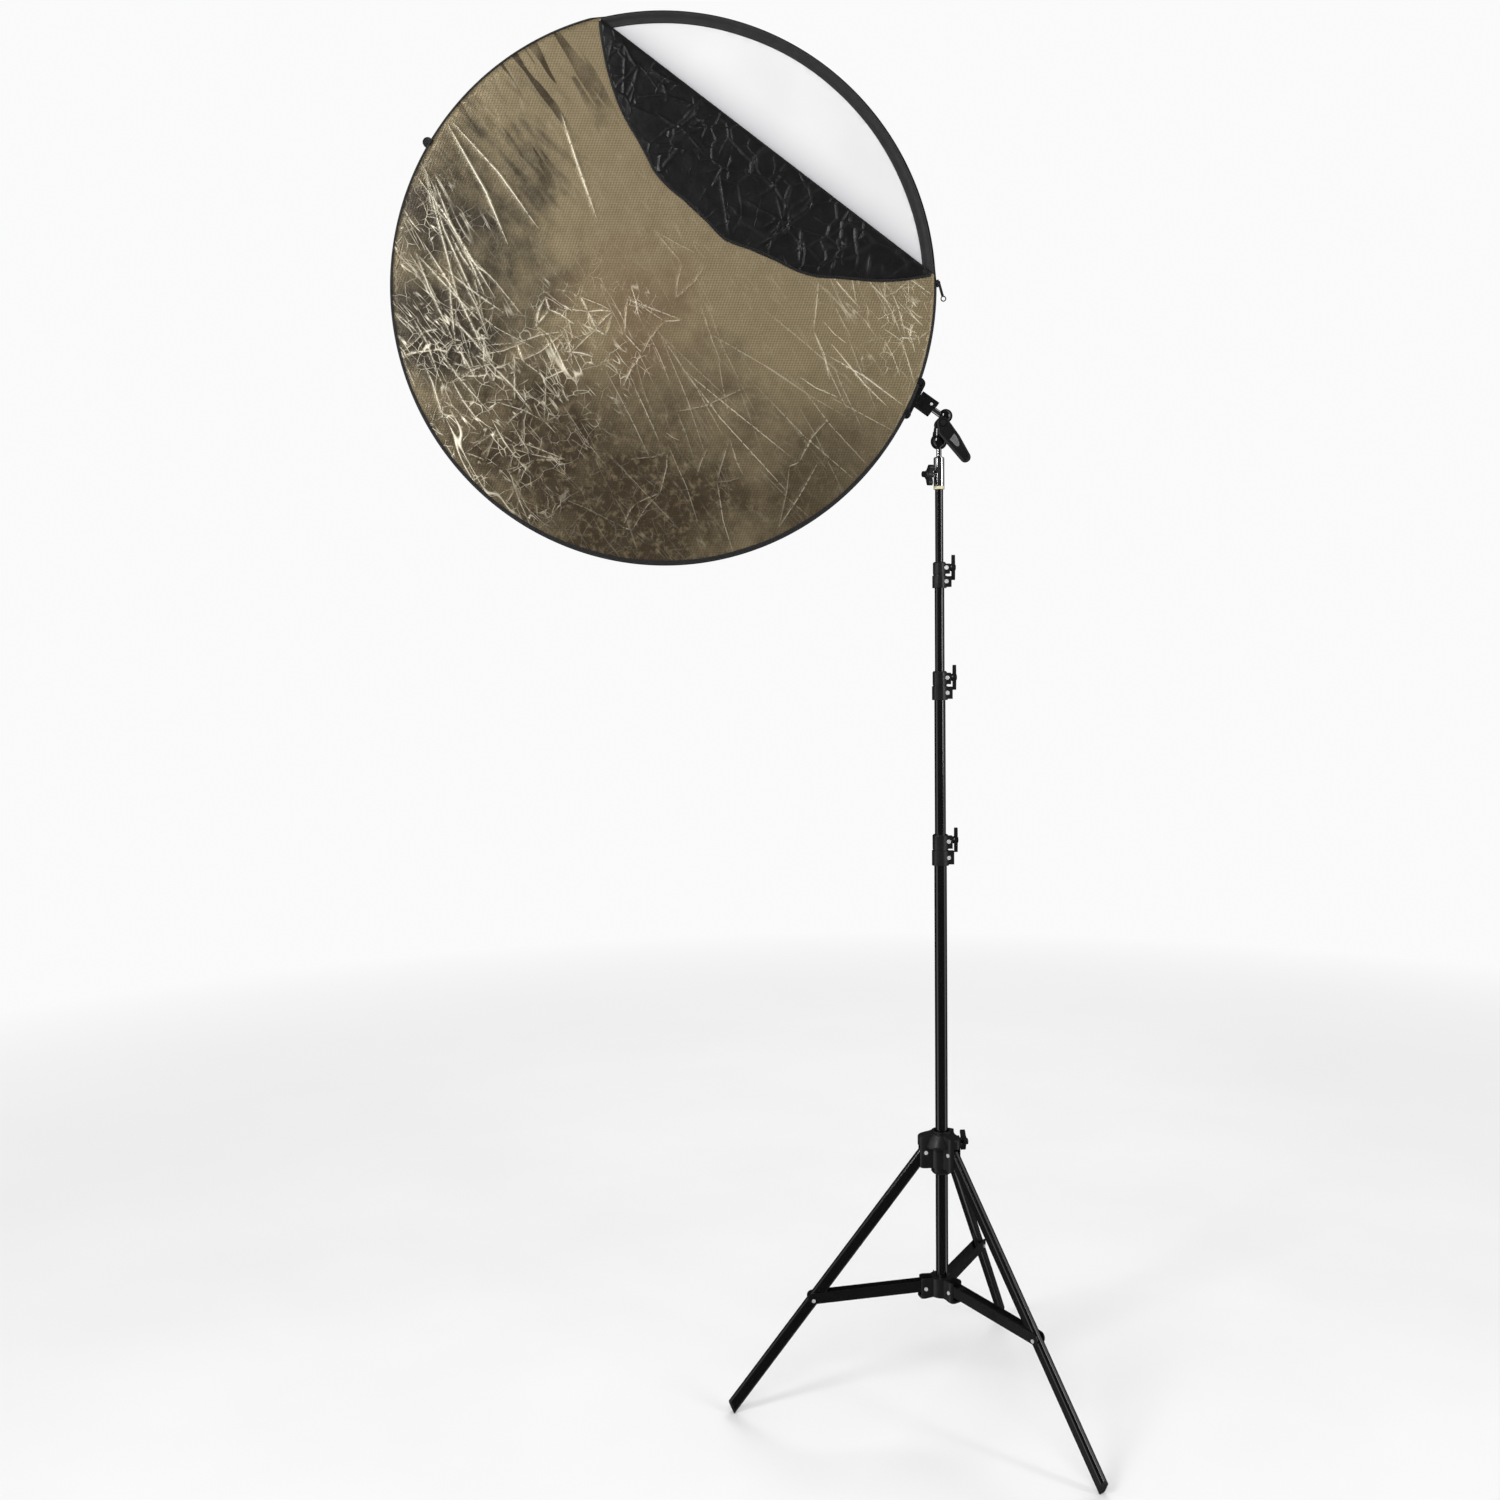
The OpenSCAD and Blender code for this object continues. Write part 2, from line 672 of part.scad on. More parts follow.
module rim_hook(angle, depth) {
    out = disc_r + hook_gap;
    rotate(angle) {
        translate([out, -hook_half, back_z - 2]) cube([3, 2 * hook_half, front_z - back_z + 4]);
        translate([out - 5, -hook_half, front_z + 0.2]) cube([8, 2 * hook_half, 1.8]);
        translate([out - 14, -hook_half, back_z - depth]) cube([17, 2 * hook_half, depth - 0.3]);
    }
}

module button(r, h) {
    cylinder(r = r, h = h - 3);
    translate([0, 0, h - 3]) cylinder(r1 = r, r2 = r - 2.5, h = 3);
}

near_angle = [-19.9, -26.9];

module near_clip() {
    color("#131313") {
        in_disc() {
            for (a = near_angle) rim_hook(a, 6);
            rotate(near_angle[0]) translate([disc_r + 2, 0, back_z - 11]) button(9.5, 11);
            rotate(near_angle[1]) translate([disc_r, 0, back_z - 11]) button(8.5, 11);
        }
        difference() {
            translate([near_x, 0, near_z]) rotate([0, -clip_lean, 0])
                translate([0, clip_y, 0]) cube([2 * clip_half + 4, 17, 14], center = true);
            in_block_space();
            in_arm() along_x() cylinder(d = arm_tube_d + 2 * press_gap, h = 60);
        }
        in_arm() difference() {
            translate([4, 0, 0]) along_x() cylinder(d = arm_tube_d + 7, h = 22);
            translate([-1, 0, 0]) along_x() cylinder(d = arm_tube_d + 2 * press_gap, h = 60);
        }
    }
}

module in_block_space() in_rod() translate([block_x, 0, 0])
    cube([block_length + 0.1, 2 * block_half_y + 0.1, block_width + 0.1], center = true);

far_angle = 147.2;

module far_clip() {
    color("#131313") difference() {
        union() {
            in_disc() {
                rim_hook(far_angle, 6);
                rotate(far_angle) translate([disc_r + 9, 0, back_z - 10]) button(9.5, 10);
                rotate(far_angle) translate([disc_r - 12, -7, back_z - 12]) cube([20, 14, 10]);
            }
            in_arm() translate([arm_span - 34, 0, 0]) along_x() cylinder(d = arm_inner_d + 6, h = 24);
        }
        in_arm() translate([arm_span - 35, 0, 0]) along_x()
            cylinder(d = arm_inner_d + 2 * press_gap, h = 20);
    }
}

// ---------- reflector ----------

// Half plane beyond the fold line, less a gap
module beyond_fold(gap) rotate(corner_angle) translate([fold_distance + gap, -disc_d])
    square([disc_d, 2 * disc_d]);

module sheet(z, t) translate([0, 0, z]) linear_extrude(t) children();

module steel_ring() {
    color("#9a9a9a") in_disc() rotate_extrude($fn = 96) translate([ring_r - 1, -4]) square([2, 8]);
}

diffuser_t = 0.8;

module diffuser() {
    color("#f4f4f2") in_disc() sheet(-diffuser_t / 2, diffuser_t) circle(r = ring_r - 4.4, $fn = 96);
}

// Webbing folded round the diffuser's edge, with a pocket for the ring
module rim_binding() {
    color("#262626") in_disc() rotate_extrude($fn = 96) difference() {
        union() {
            translate([ring_r - 4, -5.2]) square([8, 10.4]);
            translate([disc_r - binding_width, -1.4]) square([binding_width - 8, 2.8]);
        }
        translate([ring_r - 1.2, -4.2]) square([2.4, 8.4]);
        translate([0, -diffuser_t / 2 - 0.1]) square([ring_r - 4.2, diffuser_t + 0.2]);
    }
}

module cover_front() {
    color("#8f8260") in_disc() sheet(7, sheet_t) difference() {
        circle(r = disc_r - edge_t, $fn = 96);
        beyond_fold(-fold_gap);
    }
}

module cover_back() color("#b9babb") in_disc() sheet(-8, sheet_t) circle(r = disc_r - edge_t, $fn = 96);

module cover_edge() {
    color("#121212") in_disc() rotate_extrude($fn = 96) translate([disc_r - edge_t + 0.1, -8])
        square([edge_t - 0.1, 14.5]);
}

module cover_flap() {
    color("#17171a") in_disc() sheet(8.4, sheet_t) rotate(corner_angle)
        translate([2 * fold_distance, 0]) mirror([1, 0]) rotate(-corner_angle) intersection() {
            circle(r = disc_r - edge_t - 1, $fn = 96);
            beyond_fold(fold_gap);
        }
}

slider_angle = 0.8;

module zip_slider() {
    color("#2c2c2c") in_disc() rotate(slider_angle) {
        translate([disc_r + 0.5, -6, -4]) cube([4, 12, 12]);
        translate([disc_r + 0.5, -3, 7]) cube([6, 6, 2]);
        translate([disc_r + 4, 0, 8]) cylinder(r = 1.5, h = 4);
    }
}

pull_turn = -75;

module zip_pull() {
    color("#1c1c1c") in_disc() rotate(slider_angle) translate([disc_r + 4, 0, 9.4]) rotate(pull_turn)
        difference() {
        union() {
            cylinder(r = 3, h = 1.6);
            translate([0, -2.5, 0]) cube([28, 5, 1.6]);
            translate([32, 0, 0]) cylinder(r = 5.5, h = 1.6);
        }
        translate([0, 0, -1]) cylinder(r = 1.5 + run_gap, h = 4);
        translate([32, 0, -1]) cylinder(r = 3.6, h = 4);
    }
}

base_tube();
base_plug();
lower_hub();
hub_pins();
collar_1();
collar_1_screws();
wing_knob_1();
crown();
crown_pins();
crown_knob();
leg_left();
foot_left();
leg_right();
foot_right();
leg_rear();
foot_rear();
brace_left();
brace_left_rivets();
brace_right();
brace_right_rivets();
brace_rear();
brace_rear_rivets();
tube_2();
tube_2_plug();
collar_2();
collar_2_screws();
wing_knob_2();
tube_3();
tube_3_plug();
collar_3();
collar_3_screws();
wing_knob_3();
tube_4();
tube_4_plug();
sleeve();
sleeve_ring();
receiver_knob();
head_base();
tilt_bolt();
head_jaw();
lever();
lever_pad();
rod();
block();
block_pin();
near_clip();
arm_tube();
arm_inner();
far_clip();
steel_ring();
diffuser();
rim_binding();
cover_front();
cover_back();
cover_edge();
cover_flap();
zip_slider();
zip_pull();
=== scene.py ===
import json
import math
import random

import bmesh
import bpy
import numpy as np
from mathutils import Matrix, Vector
from mathutils.geometry import delaunay_2d_cdt


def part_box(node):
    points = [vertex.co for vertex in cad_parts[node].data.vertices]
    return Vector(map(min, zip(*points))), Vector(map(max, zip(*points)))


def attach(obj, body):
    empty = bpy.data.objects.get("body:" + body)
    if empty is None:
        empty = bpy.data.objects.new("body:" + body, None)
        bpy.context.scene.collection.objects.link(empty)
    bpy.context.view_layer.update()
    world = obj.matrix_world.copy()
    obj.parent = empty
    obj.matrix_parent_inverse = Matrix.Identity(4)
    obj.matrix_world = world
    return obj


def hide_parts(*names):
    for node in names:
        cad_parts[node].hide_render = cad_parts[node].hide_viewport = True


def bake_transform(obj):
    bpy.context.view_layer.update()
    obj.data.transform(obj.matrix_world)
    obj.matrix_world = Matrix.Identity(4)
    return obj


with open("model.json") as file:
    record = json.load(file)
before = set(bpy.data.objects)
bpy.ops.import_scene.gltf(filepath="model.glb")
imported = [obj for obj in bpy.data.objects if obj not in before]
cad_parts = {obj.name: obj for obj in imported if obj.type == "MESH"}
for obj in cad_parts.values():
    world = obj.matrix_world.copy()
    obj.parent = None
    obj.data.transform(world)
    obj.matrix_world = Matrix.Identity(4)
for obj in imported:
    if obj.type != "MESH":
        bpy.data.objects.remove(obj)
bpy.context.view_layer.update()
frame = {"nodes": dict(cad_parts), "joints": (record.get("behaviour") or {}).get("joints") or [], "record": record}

MM = 0.001

# ---------- the reflector's own frame: u is +X, v is +Z and w is towards the front, -Y ----------

edge_lo, edge_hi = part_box("cover_edge")
diff_lo, diff_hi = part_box("diffuser")
CX, CZ = (edge_lo.x + edge_hi.x) / 2, (edge_lo.z + edge_hi.z) / 2
CY = (diff_lo.y + diff_hi.y) / 2
R = (edge_hi.x - edge_lo.x) / 2
fold = next(j for j in frame["joints"] if j["name"] == "flap_fold")
ALONG = np.array([fold["axis"][0], fold["axis"][2]])          # along the fold line
OUTWARD = np.array([ALONG[1], -ALONG[0]])                     # from the centre to the fold line
FOLD_D = float(np.dot([fold["pos_m"][0] - CX, fold["pos_m"][2] - CZ], OUTWARD))
OPEN_MID = math.degrees(math.atan2(OUTWARD[1], OUTWARD[0]))
OPEN_HALF = math.degrees(math.acos(FOLD_D / R))


def layer(node):
    """How far in front of the diffuser a flat CAD layer lies."""
    lo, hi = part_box(node)
    return CY - (lo.y + hi.y) / 2


W_FRONT, W_FLAP, W_BACK = layer("cover_front"), layer("cover_flap"), layer("cover_back")
W_HINGE = CY - fold["pos_m"][1]


def to_frame(uvw):
    uvw = np.asarray(uvw, float)
    return np.stack([CX + uvw[:, 0], CY - uvw[:, 2], CZ + uvw[:, 1]], 1)


# ---------- material nodes ----------


class Nodes:
    """Builds one node tree, for a material or for the world. Inputs may be values or sockets."""

    def __init__(self, name, owner=None):
        self.material = owner or bpy.data.materials.new(name)
        self.material.use_nodes = True
        self.tree = self.material.node_tree
        self.tree.nodes.clear()
        self.coords = self.tree.nodes.new("ShaderNodeTexCoord").outputs["Object"]

    def add(self, kind, inputs=None, out=0, **props):
        node = self.tree.nodes.new("ShaderNode" + kind)
        for k, v in props.items():
            setattr(node, k, v)
        for k, v in (inputs or {}).items():
            if isinstance(v, bpy.types.NodeSocket):
                self.tree.links.new(v, node.inputs[k])
            else:
                node.inputs[k].default_value = v
        return node.outputs[out]

    def math(self, op, a, b=0.0, clamp=False):
        return self.add("Math", {0: a, 1: b}, operation=op, use_clamp=clamp)

    def noise(self, scale, detail=3.0, rough=0.5, vector=None):
        return self.add("TexNoise", {"Vector": vector or self.coords, "Scale": scale, "Detail": detail,
                                     "Roughness": rough})

    def voronoi_edge(self, scale, vector=None):
        inputs = {"Vector": vector or self.coords, "Scale": scale}
        return self.add("TexVoronoi", inputs, feature="DISTANCE_TO_EDGE")

    def spread(self, value, lo, hi, out_lo=0.0, out_hi=1.0):
        return self.add("MapRange", {"Value": value, "From Min": lo, "From Max": hi, "To Min": out_lo,
                                     "To Max": out_hi}, clamp=True)

    def mix(self, share, a, b):
        node = self.tree.nodes.new("ShaderNodeMix")
        node.data_type = "RGBA"
        for i, v in ((0, share), (6, a), (7, b)):
            if isinstance(v, bpy.types.NodeSocket):
                self.tree.links.new(v, node.inputs[i])
            else:
                node.inputs[i].default_value = v if i == 0 else (*v[:3], 1)
        return node.outputs[2]

    def attribute(self, name):
        return self.add("Attribute", attribute_name=name, out=2)

    def bump(self, height, distance, strength=1.0, normal=None):
        inputs = {"Height": height, "Distance": distance, "Strength": strength}
        if normal is not None:
            inputs["Normal"] = normal
        return self.add("Bump", inputs)

    def finish(self, **inputs):
        node = self.tree.nodes.new("ShaderNodeBsdfPrincipled")
        for k, v in inputs.items():
            k = k.replace("_", " ")
            if isinstance(v, bpy.types.NodeSocket):
                self.tree.links.new(v, node.inputs[k])
            else:
                is_color = node.inputs[k].type == "RGBA"
                node.inputs[k].default_value = (*v, 1) if is_color else v
        out = self.tree.nodes.new("ShaderNodeOutputMaterial")
        self.tree.links.new(node.outputs[0], out.inputs[0])
        return self.material


EDGE_ROUND = 0.5 * MM


def darker(color, share):
    """A color times a share, which may also be over 1 to make it paler."""
    return tuple(c * share for c in color)


def hard(name, color, rough, metallic=0.0, grain=400.0, grain_depth=0.02, wear=(0.03, 0.03, 0.03),
         coat=0.0, stretch=None):
    """A painted, moulded or metal surface: rounded edges, fine grain, uneven gloss and slight edge wear."""
    n = Nodes(name)
    place = n.coords
    if stretch:
        place = n.add("Mapping", {"Vector": n.coords, "Scale": stretch})
    fine = n.noise(grain, 4.0, 0.6, place)
    cloudy = n.noise(14.0, 3.0, 0.55)
    edge = n.add("Bevel", {"Radius": EDGE_ROUND}, samples=4)
    flat = n.add("NewGeometry", out=1)
    turn = n.add("VectorMath", {0: edge, 1: flat}, operation="DOT_PRODUCT", out=1)
    spots = n.spread(n.noise(90.0, 3.0), 0.5, 0.7)
    worn = n.math("MULTIPLY", n.spread(turn, 0.97, 0.80), spots, clamp=True)
    tone = n.mix(n.spread(cloudy, 0.35, 0.7), darker(color, 0.85), darker(color, 1.15))
    color_out = n.mix(n.math("MULTIPLY", worn, 0.5), tone, wear)
    normal_out = n.bump(fine, grain_depth * MM, 0.6, edge)
    rough_out = n.spread(cloudy, 0.3, 0.75, rough * 0.8, rough * 1.25)
    return n.finish(Base_Color=color_out, Metallic=metallic, Normal=normal_out, Roughness=rough_out,
                    Coat_Weight=coat, Coat_Roughness=0.08)


SLOT_LOOKS = {
    "black_enamel": dict(color=(0.0030, 0.0030, 0.0032), rough=0.16, grain=260, grain_depth=0.02, coat=0.8),
    "black_strip": dict(color=(0.0045, 0.0045, 0.0047), rough=0.28, grain=300, grain_depth=0.03, coat=0.3),
    "black_casting": dict(color=(0.0080, 0.0080, 0.0082), rough=0.34, grain=900, grain_depth=0.04),
    "head_casting": dict(color=(0.0030, 0.0030, 0.0032), rough=0.12, grain=240, grain_depth=0.02, coat=0.9),
    "black_knob": dict(color=(0.0065, 0.0065, 0.0068), rough=0.30, grain=1100, grain_depth=0.04),
    "lever_grip": dict(color=(0.11, 0.11, 0.11), rough=0.55, grain=1500, grain_depth=0.05,
                       wear=(0.2, 0.2, 0.2)),
    "plug_plastic": dict(color=(0.020, 0.020, 0.020), rough=0.55, grain=1200, grain_depth=0.04),
    "bright_steel": dict(color=(0.80, 0.80, 0.82), rough=0.35, metallic=0.5, grain=700, grain_depth=0.01,
                         wear=(0.8, 0.8, 0.8)),
    "chrome": dict(color=(0.70, 0.70, 0.71), rough=0.09, metallic=1.0, grain=120, grain_depth=0.01,
                   wear=(0.8, 0.8, 0.8)),
    "bare_aluminium": dict(color=(0.60, 0.60, 0.62), rough=0.34, metallic=1.0, grain=500, grain_depth=0.02,
                           wear=(0.7, 0.7, 0.7), stretch=(1, 30, 1)),
    "nylon_ring": dict(color=(0.60, 0.56, 0.36), rough=0.42, grain=800, grain_depth=0.02,
                       wear=(0.8, 0.8, 0.6)),
    "foot_rubber": dict(color=(0.0070, 0.0070, 0.0070), rough=0.66, grain=1300, grain_depth=0.08),
    "spring_steel": dict(color=(0.40, 0.40, 0.41), rough=0.35, metallic=1.0, grain=500, grain_depth=0.02),
    "zip_metal": dict(color=(0.012, 0.012, 0.012), rough=0.25, grain=900, grain_depth=0.02,
                      wear=(0.3, 0.3, 0.3)),
    "zip_tab": dict(color=(0.010, 0.010, 0.011), rough=0.45, grain=1500, grain_depth=0.05),
}
BLACKENED = ("tilt_bolt",)          # steel fasteners that look black beside the lever
hard_materials = {slot: hard(slot, **look) for slot, look in SLOT_LOOKS.items()}
SLOT_OF = {p["node"]: p["material_slot"] for p in frame["record"]["subparts"]}
for node_name, cad in frame["nodes"].items():
    look = "black_casting" if node_name in BLACKENED else SLOT_OF[node_name]
    if look in hard_materials:
        cad.data.materials.clear()
        cad.data.materials.append(hard_materials[look])


def polar(angle, radius):
    """A place on the disc, in units of its radius."""
    return radius * math.cos(math.radians(angle)), radius * math.sin(math.radians(angle))


def disc_place(n):
    """Metres to the right of and above the disc's centre, as sockets."""
    x, z = (n.add("SeparateXYZ", {0: n.coords}, out=i) for i in (0, 2))
    return n.math("SUBTRACT", x, CX), n.math("SUBTRACT", z, CZ)


def turned(n, heading):
    """Metres along and across a heading on the disc, as sockets."""
    right, up = disc_place(n)
    c, d = math.cos(math.radians(heading)), math.sin(math.radians(heading))
    along = n.math("ADD", n.math("MULTIPLY", right, c), n.math("MULTIPLY", up, d))
    return along, n.math("SUBTRACT", n.math("MULTIPLY", up, c), n.math("MULTIPLY", right, d))


def past_fold(n):
    """Metres past the fold line, as a socket."""
    return n.math("SUBTRACT", turned(n, OPEN_MID)[0], FOLD_D)


def patch(n, angle, radius, size):
    """Soft ragged patch: 1 at its middle and 0 past size. Lengths are in units of the disc's radius."""
    right, up = disc_place(n)
    at = polar(angle, radius)
    across, rise = n.math("SUBTRACT", right, at[0] * R), n.math("SUBTRACT", up, at[1] * R)
    squares = n.math("ADD", n.math("MULTIPLY", across, across), n.math("MULTIPLY", rise, rise))
    far = n.math("DIVIDE", n.math("SQRT", squares), R)
    ragged = n.math("ADD", far, n.spread(n.noise(9.0, 5.0, 0.65), 0.3, 0.7, -0.16, 0.16))
    return n.spread(ragged, size, size * 0.25)


def any_of(n, *shares):
    """The largest of several shares."""
    total = shares[0]
    for share in shares[1:]:
        total = n.math("MAXIMUM", total, share)
    return total


def diagonal_weave(n, period):
    """Rows of small diamonds from two crossed waves."""
    rising, falling = (turned(n, heading)[1] for heading in (32, -50))
    waves = (n.math("SINE", n.math("MULTIPLY", rising, 2 * math.pi / period)),
             n.math("SINE", n.math("MULTIPLY", falling, 2 * math.pi / (period * 1.4))))
    return n.math("MULTIPLY", *waves)


def streaks(n, heading, lengthwise, crosswise, low, high):
    """Stripes that run at one heading. The two scales are in cells per metre."""
    along, across = turned(n, heading)
    stretched = {0: n.math("MULTIPLY", along, lengthwise), 1: n.math("MULTIPLY", across, crosswise)}
    place = n.add("CombineXYZ", stretched)
    return n.spread(n.noise(1.0, 2.0, 0.5, place), low, high)


def hairlines(n, heading, scale, width):
    """Thin wavering lines, mostly at one heading, where stretched noise crosses its middle value."""
    along, across = turned(n, heading)
    place = n.add("CombineXYZ", {0: n.math("MULTIPLY", along, 0.12), 1: across})
    wave = n.math("ABSOLUTE", n.math("SUBTRACT", n.noise(scale, 2.0, 0.6, place), 0.5))
    return n.math("MULTIPLY", n.spread(wave, width, 0.0), n.spread(n.noise(scale * 0.9, 3.0), 0.47, 0.60))


def crinkle(n, scales, width):
    """Hairlines at several headings, laid over one another."""
    return any_of(n, *(hairlines(n, heading, scale, width) for heading, scale in scales))


def web(n, scale, width):
    """Fine creases that meet one another, as the edges of ragged cells that fade in and out."""
    ragged = n.add("TexNoise", {"Vector": n.coords, "Scale": scale * 0.8, "Detail": 2.0}, out=1)
    shift = 0.45 / scale
    moved = {0: ragged, 1: (shift, shift, shift), 2: n.coords}
    place = n.add("VectorMath", moved, operation="MULTIPLY_ADD")
    line = n.spread(n.voronoi_edge(scale, place), width, 0.0)
    return n.math("MULTIPLY", line, n.spread(n.noise(scale * 0.6, 3.0), 0.48, 0.60))


def foil(name, base, dark, deep, painted_highlight, warm, metallic):
    """Metallised fabric: diamond weave, darker patches (mostly painted shade), mottled patches, and crease lines
    painted with highlights.
    """
    n = Nodes(name)
    weave = diagonal_weave(n, 6.0 * MM)
    color = n.mix(n.spread(weave, -0.8, 0.8), darker(base, 0.74), darker(base, 1.26))

    # Painted shade: darker zones at the bottom, the left, the lower right, and a warm one beside the middle
    low = any_of(n, patch(n, 262, 0.80, 0.74), patch(n, 230, 0.75, 0.54))
    color = n.mix(n.math("MULTIPLY", low, 0.90), color, deep)
    left = any_of(n, patch(n, 163, 0.82, 0.46), patch(n, 185, 0.85, 0.44), patch(n, 174, 0.68, 0.40))
    color = n.mix(n.math("MULTIPLY", left, 0.92), color, dark)
    color = n.mix(n.math("MULTIPLY", patch(n, 312, 0.95, 0.50), 0.60), color, deep)
    color = n.mix(n.math("MULTIPLY", patch(n, 215, 0.15, 0.30), 0.45), color, warm)

    # Paler mottling, mostly at the bottom
    mottled = n.math("MULTIPLY", n.spread(n.noise(55.0, 5.0, 0.7), 0.50, 0.66), any_of(n, low, 0.30))
    color = n.mix(n.math("MULTIPLY", mottled, 0.45), color, darker(base, 1.2))

    # Dark bands, and smears that are painted shadow, at the upper left
    bands = n.math("MULTIPLY", streaks(n, -57, 4, 34, 0.54, 0.56), patch(n, 123, 0.92, 0.36))
    painted_shadow_streaks = n.math("MULTIPLY", streaks(n, -48, 9, 46, 0.50, 0.64), patch(n, 142, 0.72, 0.42))
    color = n.mix(n.math("MULTIPLY", bands, 0.85), color, darker(deep, 0.9))
    color = n.mix(n.math("MULTIPLY", painted_shadow_streaks, 0.55), color, dark)

    # Painted highlights along fine creases: many at the left, some at the right, and few elsewhere
    rim = any_of(n, patch(n, 190, 0.92, 0.46), patch(n, 215, 0.90, 0.46), patch(n, 168, 0.95, 0.34))
    busy = any_of(n, rim, n.math("MULTIPLY", patch(n, 214, 0.38, 0.34), 0.75),
                  n.math("MULTIPLY", patch(n, 350, 0.90, 0.34), 0.55), n.math("MULTIPLY", low, 0.10), 0.06)
    fine = any_of(n, web(n, 19, 0.010), n.math("MULTIPLY", web(n, 42, 0.034), 0.8))
    broad = crinkle(n, ((-62, 17), (-48, 30)), 0.010)
    lines = n.math("MULTIPLY", any_of(n, fine, broad), busy, clamp=True)
    crease = any_of(n, n.attribute("crease"), lines)
    color = n.mix(n.math("MULTIPLY", crease, 0.95, clamp=True), color, painted_highlight)

    height = n.math("ADD", n.math("MULTIPLY", any_of(n, fine, broad), busy), n.noise(60.0, 5.0, 0.65))
    normal = n.bump(weave, 0.15 * MM, 0.6, n.bump(height, 1.8 * MM, 0.6))
    shine = n.math("MULTIPLY", n.spread(crease, 0, 1, 1.0, 0.25), metallic)
    return n.finish(Base_Color=color, Metallic=shine, Normal=normal,
                    Roughness=n.spread(n.noise(30.0, 4.0), 0.3, 0.7, 0.32, 0.50))


gold = foil("gold_cloth", base=(0.228, 0.180, 0.102), dark=(0.027, 0.021, 0.014),
            deep=(0.033, 0.020, 0.010), painted_highlight=(1.0, 0.92, 0.72), warm=(0.165, 0.095, 0.052), metallic=0.45)
silver = foil("silver_cloth", base=(0.46, 0.47, 0.48), dark=(0.30, 0.31, 0.32),
              deep=(0.20, 0.21, 0.22), painted_highlight=(0.95, 0.95, 0.96), warm=(0.42, 0.42, 0.42), metallic=0.60)


def satin_lining():
    """Black lining of the cover: a fine diagonal thread, soft crumples and ridges made slightly paler by painted
    highlights.
    """
    n = Nodes("black_lining")
    threads = n.math("SINE", n.math("MULTIPLY", turned(n, 45)[1], 2 * math.pi / (1.3 * MM)))
    pressed = any_of(n, web(n, 13, 0.05), web(n, 24, 0.06))
    # Painted highlight: the ridges and pressed creases are paler than the rest of the lining
    soft = any_of(n, n.attribute("crease"), n.math("MULTIPLY", pressed, 0.35))
    color = n.mix(soft, (0.0045, 0.0045, 0.0048), (0.018, 0.018, 0.019))
    crumples = n.math("ADD", n.noise(13.0, 4.0, 0.55), n.math("MULTIPLY", pressed, 0.4))
    normal = n.bump(threads, 0.03 * MM, 0.4, n.bump(crumples, 5.0 * MM, 0.8))
    rough = n.spread(n.noise(40.0), 0.3, 0.7, 0.34, 0.50)
    return n.finish(Base_Color=color, Normal=normal, Roughness=rough, Specular_IOR_Level=0.35)


def diffuser_cloth():
    """White translucent cloth: a fine square weave, and a soft grey painted shadow beside the folded corner."""
    n = Nodes("diffuser_cloth")
    right, up = (n.math("MULTIPLY", place, 2 * math.pi / (1.6 * MM)) for place in disc_place(n))
    weave = n.math("MULTIPLY", n.math("SINE", right), n.math("SINE", up))
    near_fold = n.math("POWER", n.spread(past_fold(n), 75 * MM, 0.0), 2.0)
    clean = n.mix(n.spread(n.noise(5.0, 2.0), 0.35, 0.65), (0.575, 0.575, 0.58), (0.61, 0.61, 0.61))
    color = n.mix(n.math("MULTIPLY", near_fold, 0.75), clean, (0.33, 0.33, 0.35))
    normal = n.bump(weave, 0.03 * MM, 0.5, n.bump(n.noise(8.0, 2.0), 0.8 * MM, 0.3))
    return n.finish(Base_Color=color, Normal=normal, Roughness=0.72, Subsurface_Weight=0.1,
                    Subsurface_Radius=(0.01, 0.01, 0.01))


def webbing_cloth(name, color, rib):
    """Woven tape: fine ribs across it with painted highlights on their crests, and a mottled dark tone."""
    n = Nodes(name)
    right, up = disc_place(n)
    turn = n.math("MULTIPLY", n.math("ARCTAN2", up, right), R * 2 * math.pi / rib)
    far = n.math("SQRT", n.math("ADD", n.math("MULTIPLY", right, right), n.math("MULTIPLY", up, up)))
    rows = n.math("SINE", n.math("MULTIPLY", far, 2 * math.pi / rib))
    ribs = n.math("MULTIPLY", n.math("SINE", turn), rows)
    tone = n.mix(n.spread(n.noise(60.0, 4.0), 0.3, 0.7), darker(color, 0.8), darker(color, 1.3))
    # Painted highlight: the ribs' crests are paler
    tone = n.mix(n.spread(ribs, 0.2, 1.0, 0.0, 0.35), tone, darker(color, 1.9))
    return n.finish(Base_Color=tone, Normal=n.bump(ribs, 0.10 * MM, 0.8), Roughness=0.62, Sheen_Weight=0.08)


lining, diffuser_white = satin_lining(), diffuser_cloth()
webbing = webbing_cloth("webbing", (0.0100, 0.0100, 0.0105), 1.5 * MM)
tape = webbing_cloth("edge_tape", (0.0045, 0.0045, 0.0050), 1.2 * MM)
thread = webbing_cloth("thread", (0.022, 0.022, 0.023), 0.5 * MM)
teeth_plastic = hard("zip_teeth", (0.010, 0.010, 0.010), 0.3, grain=1500)

# ---------- creased sheets ----------


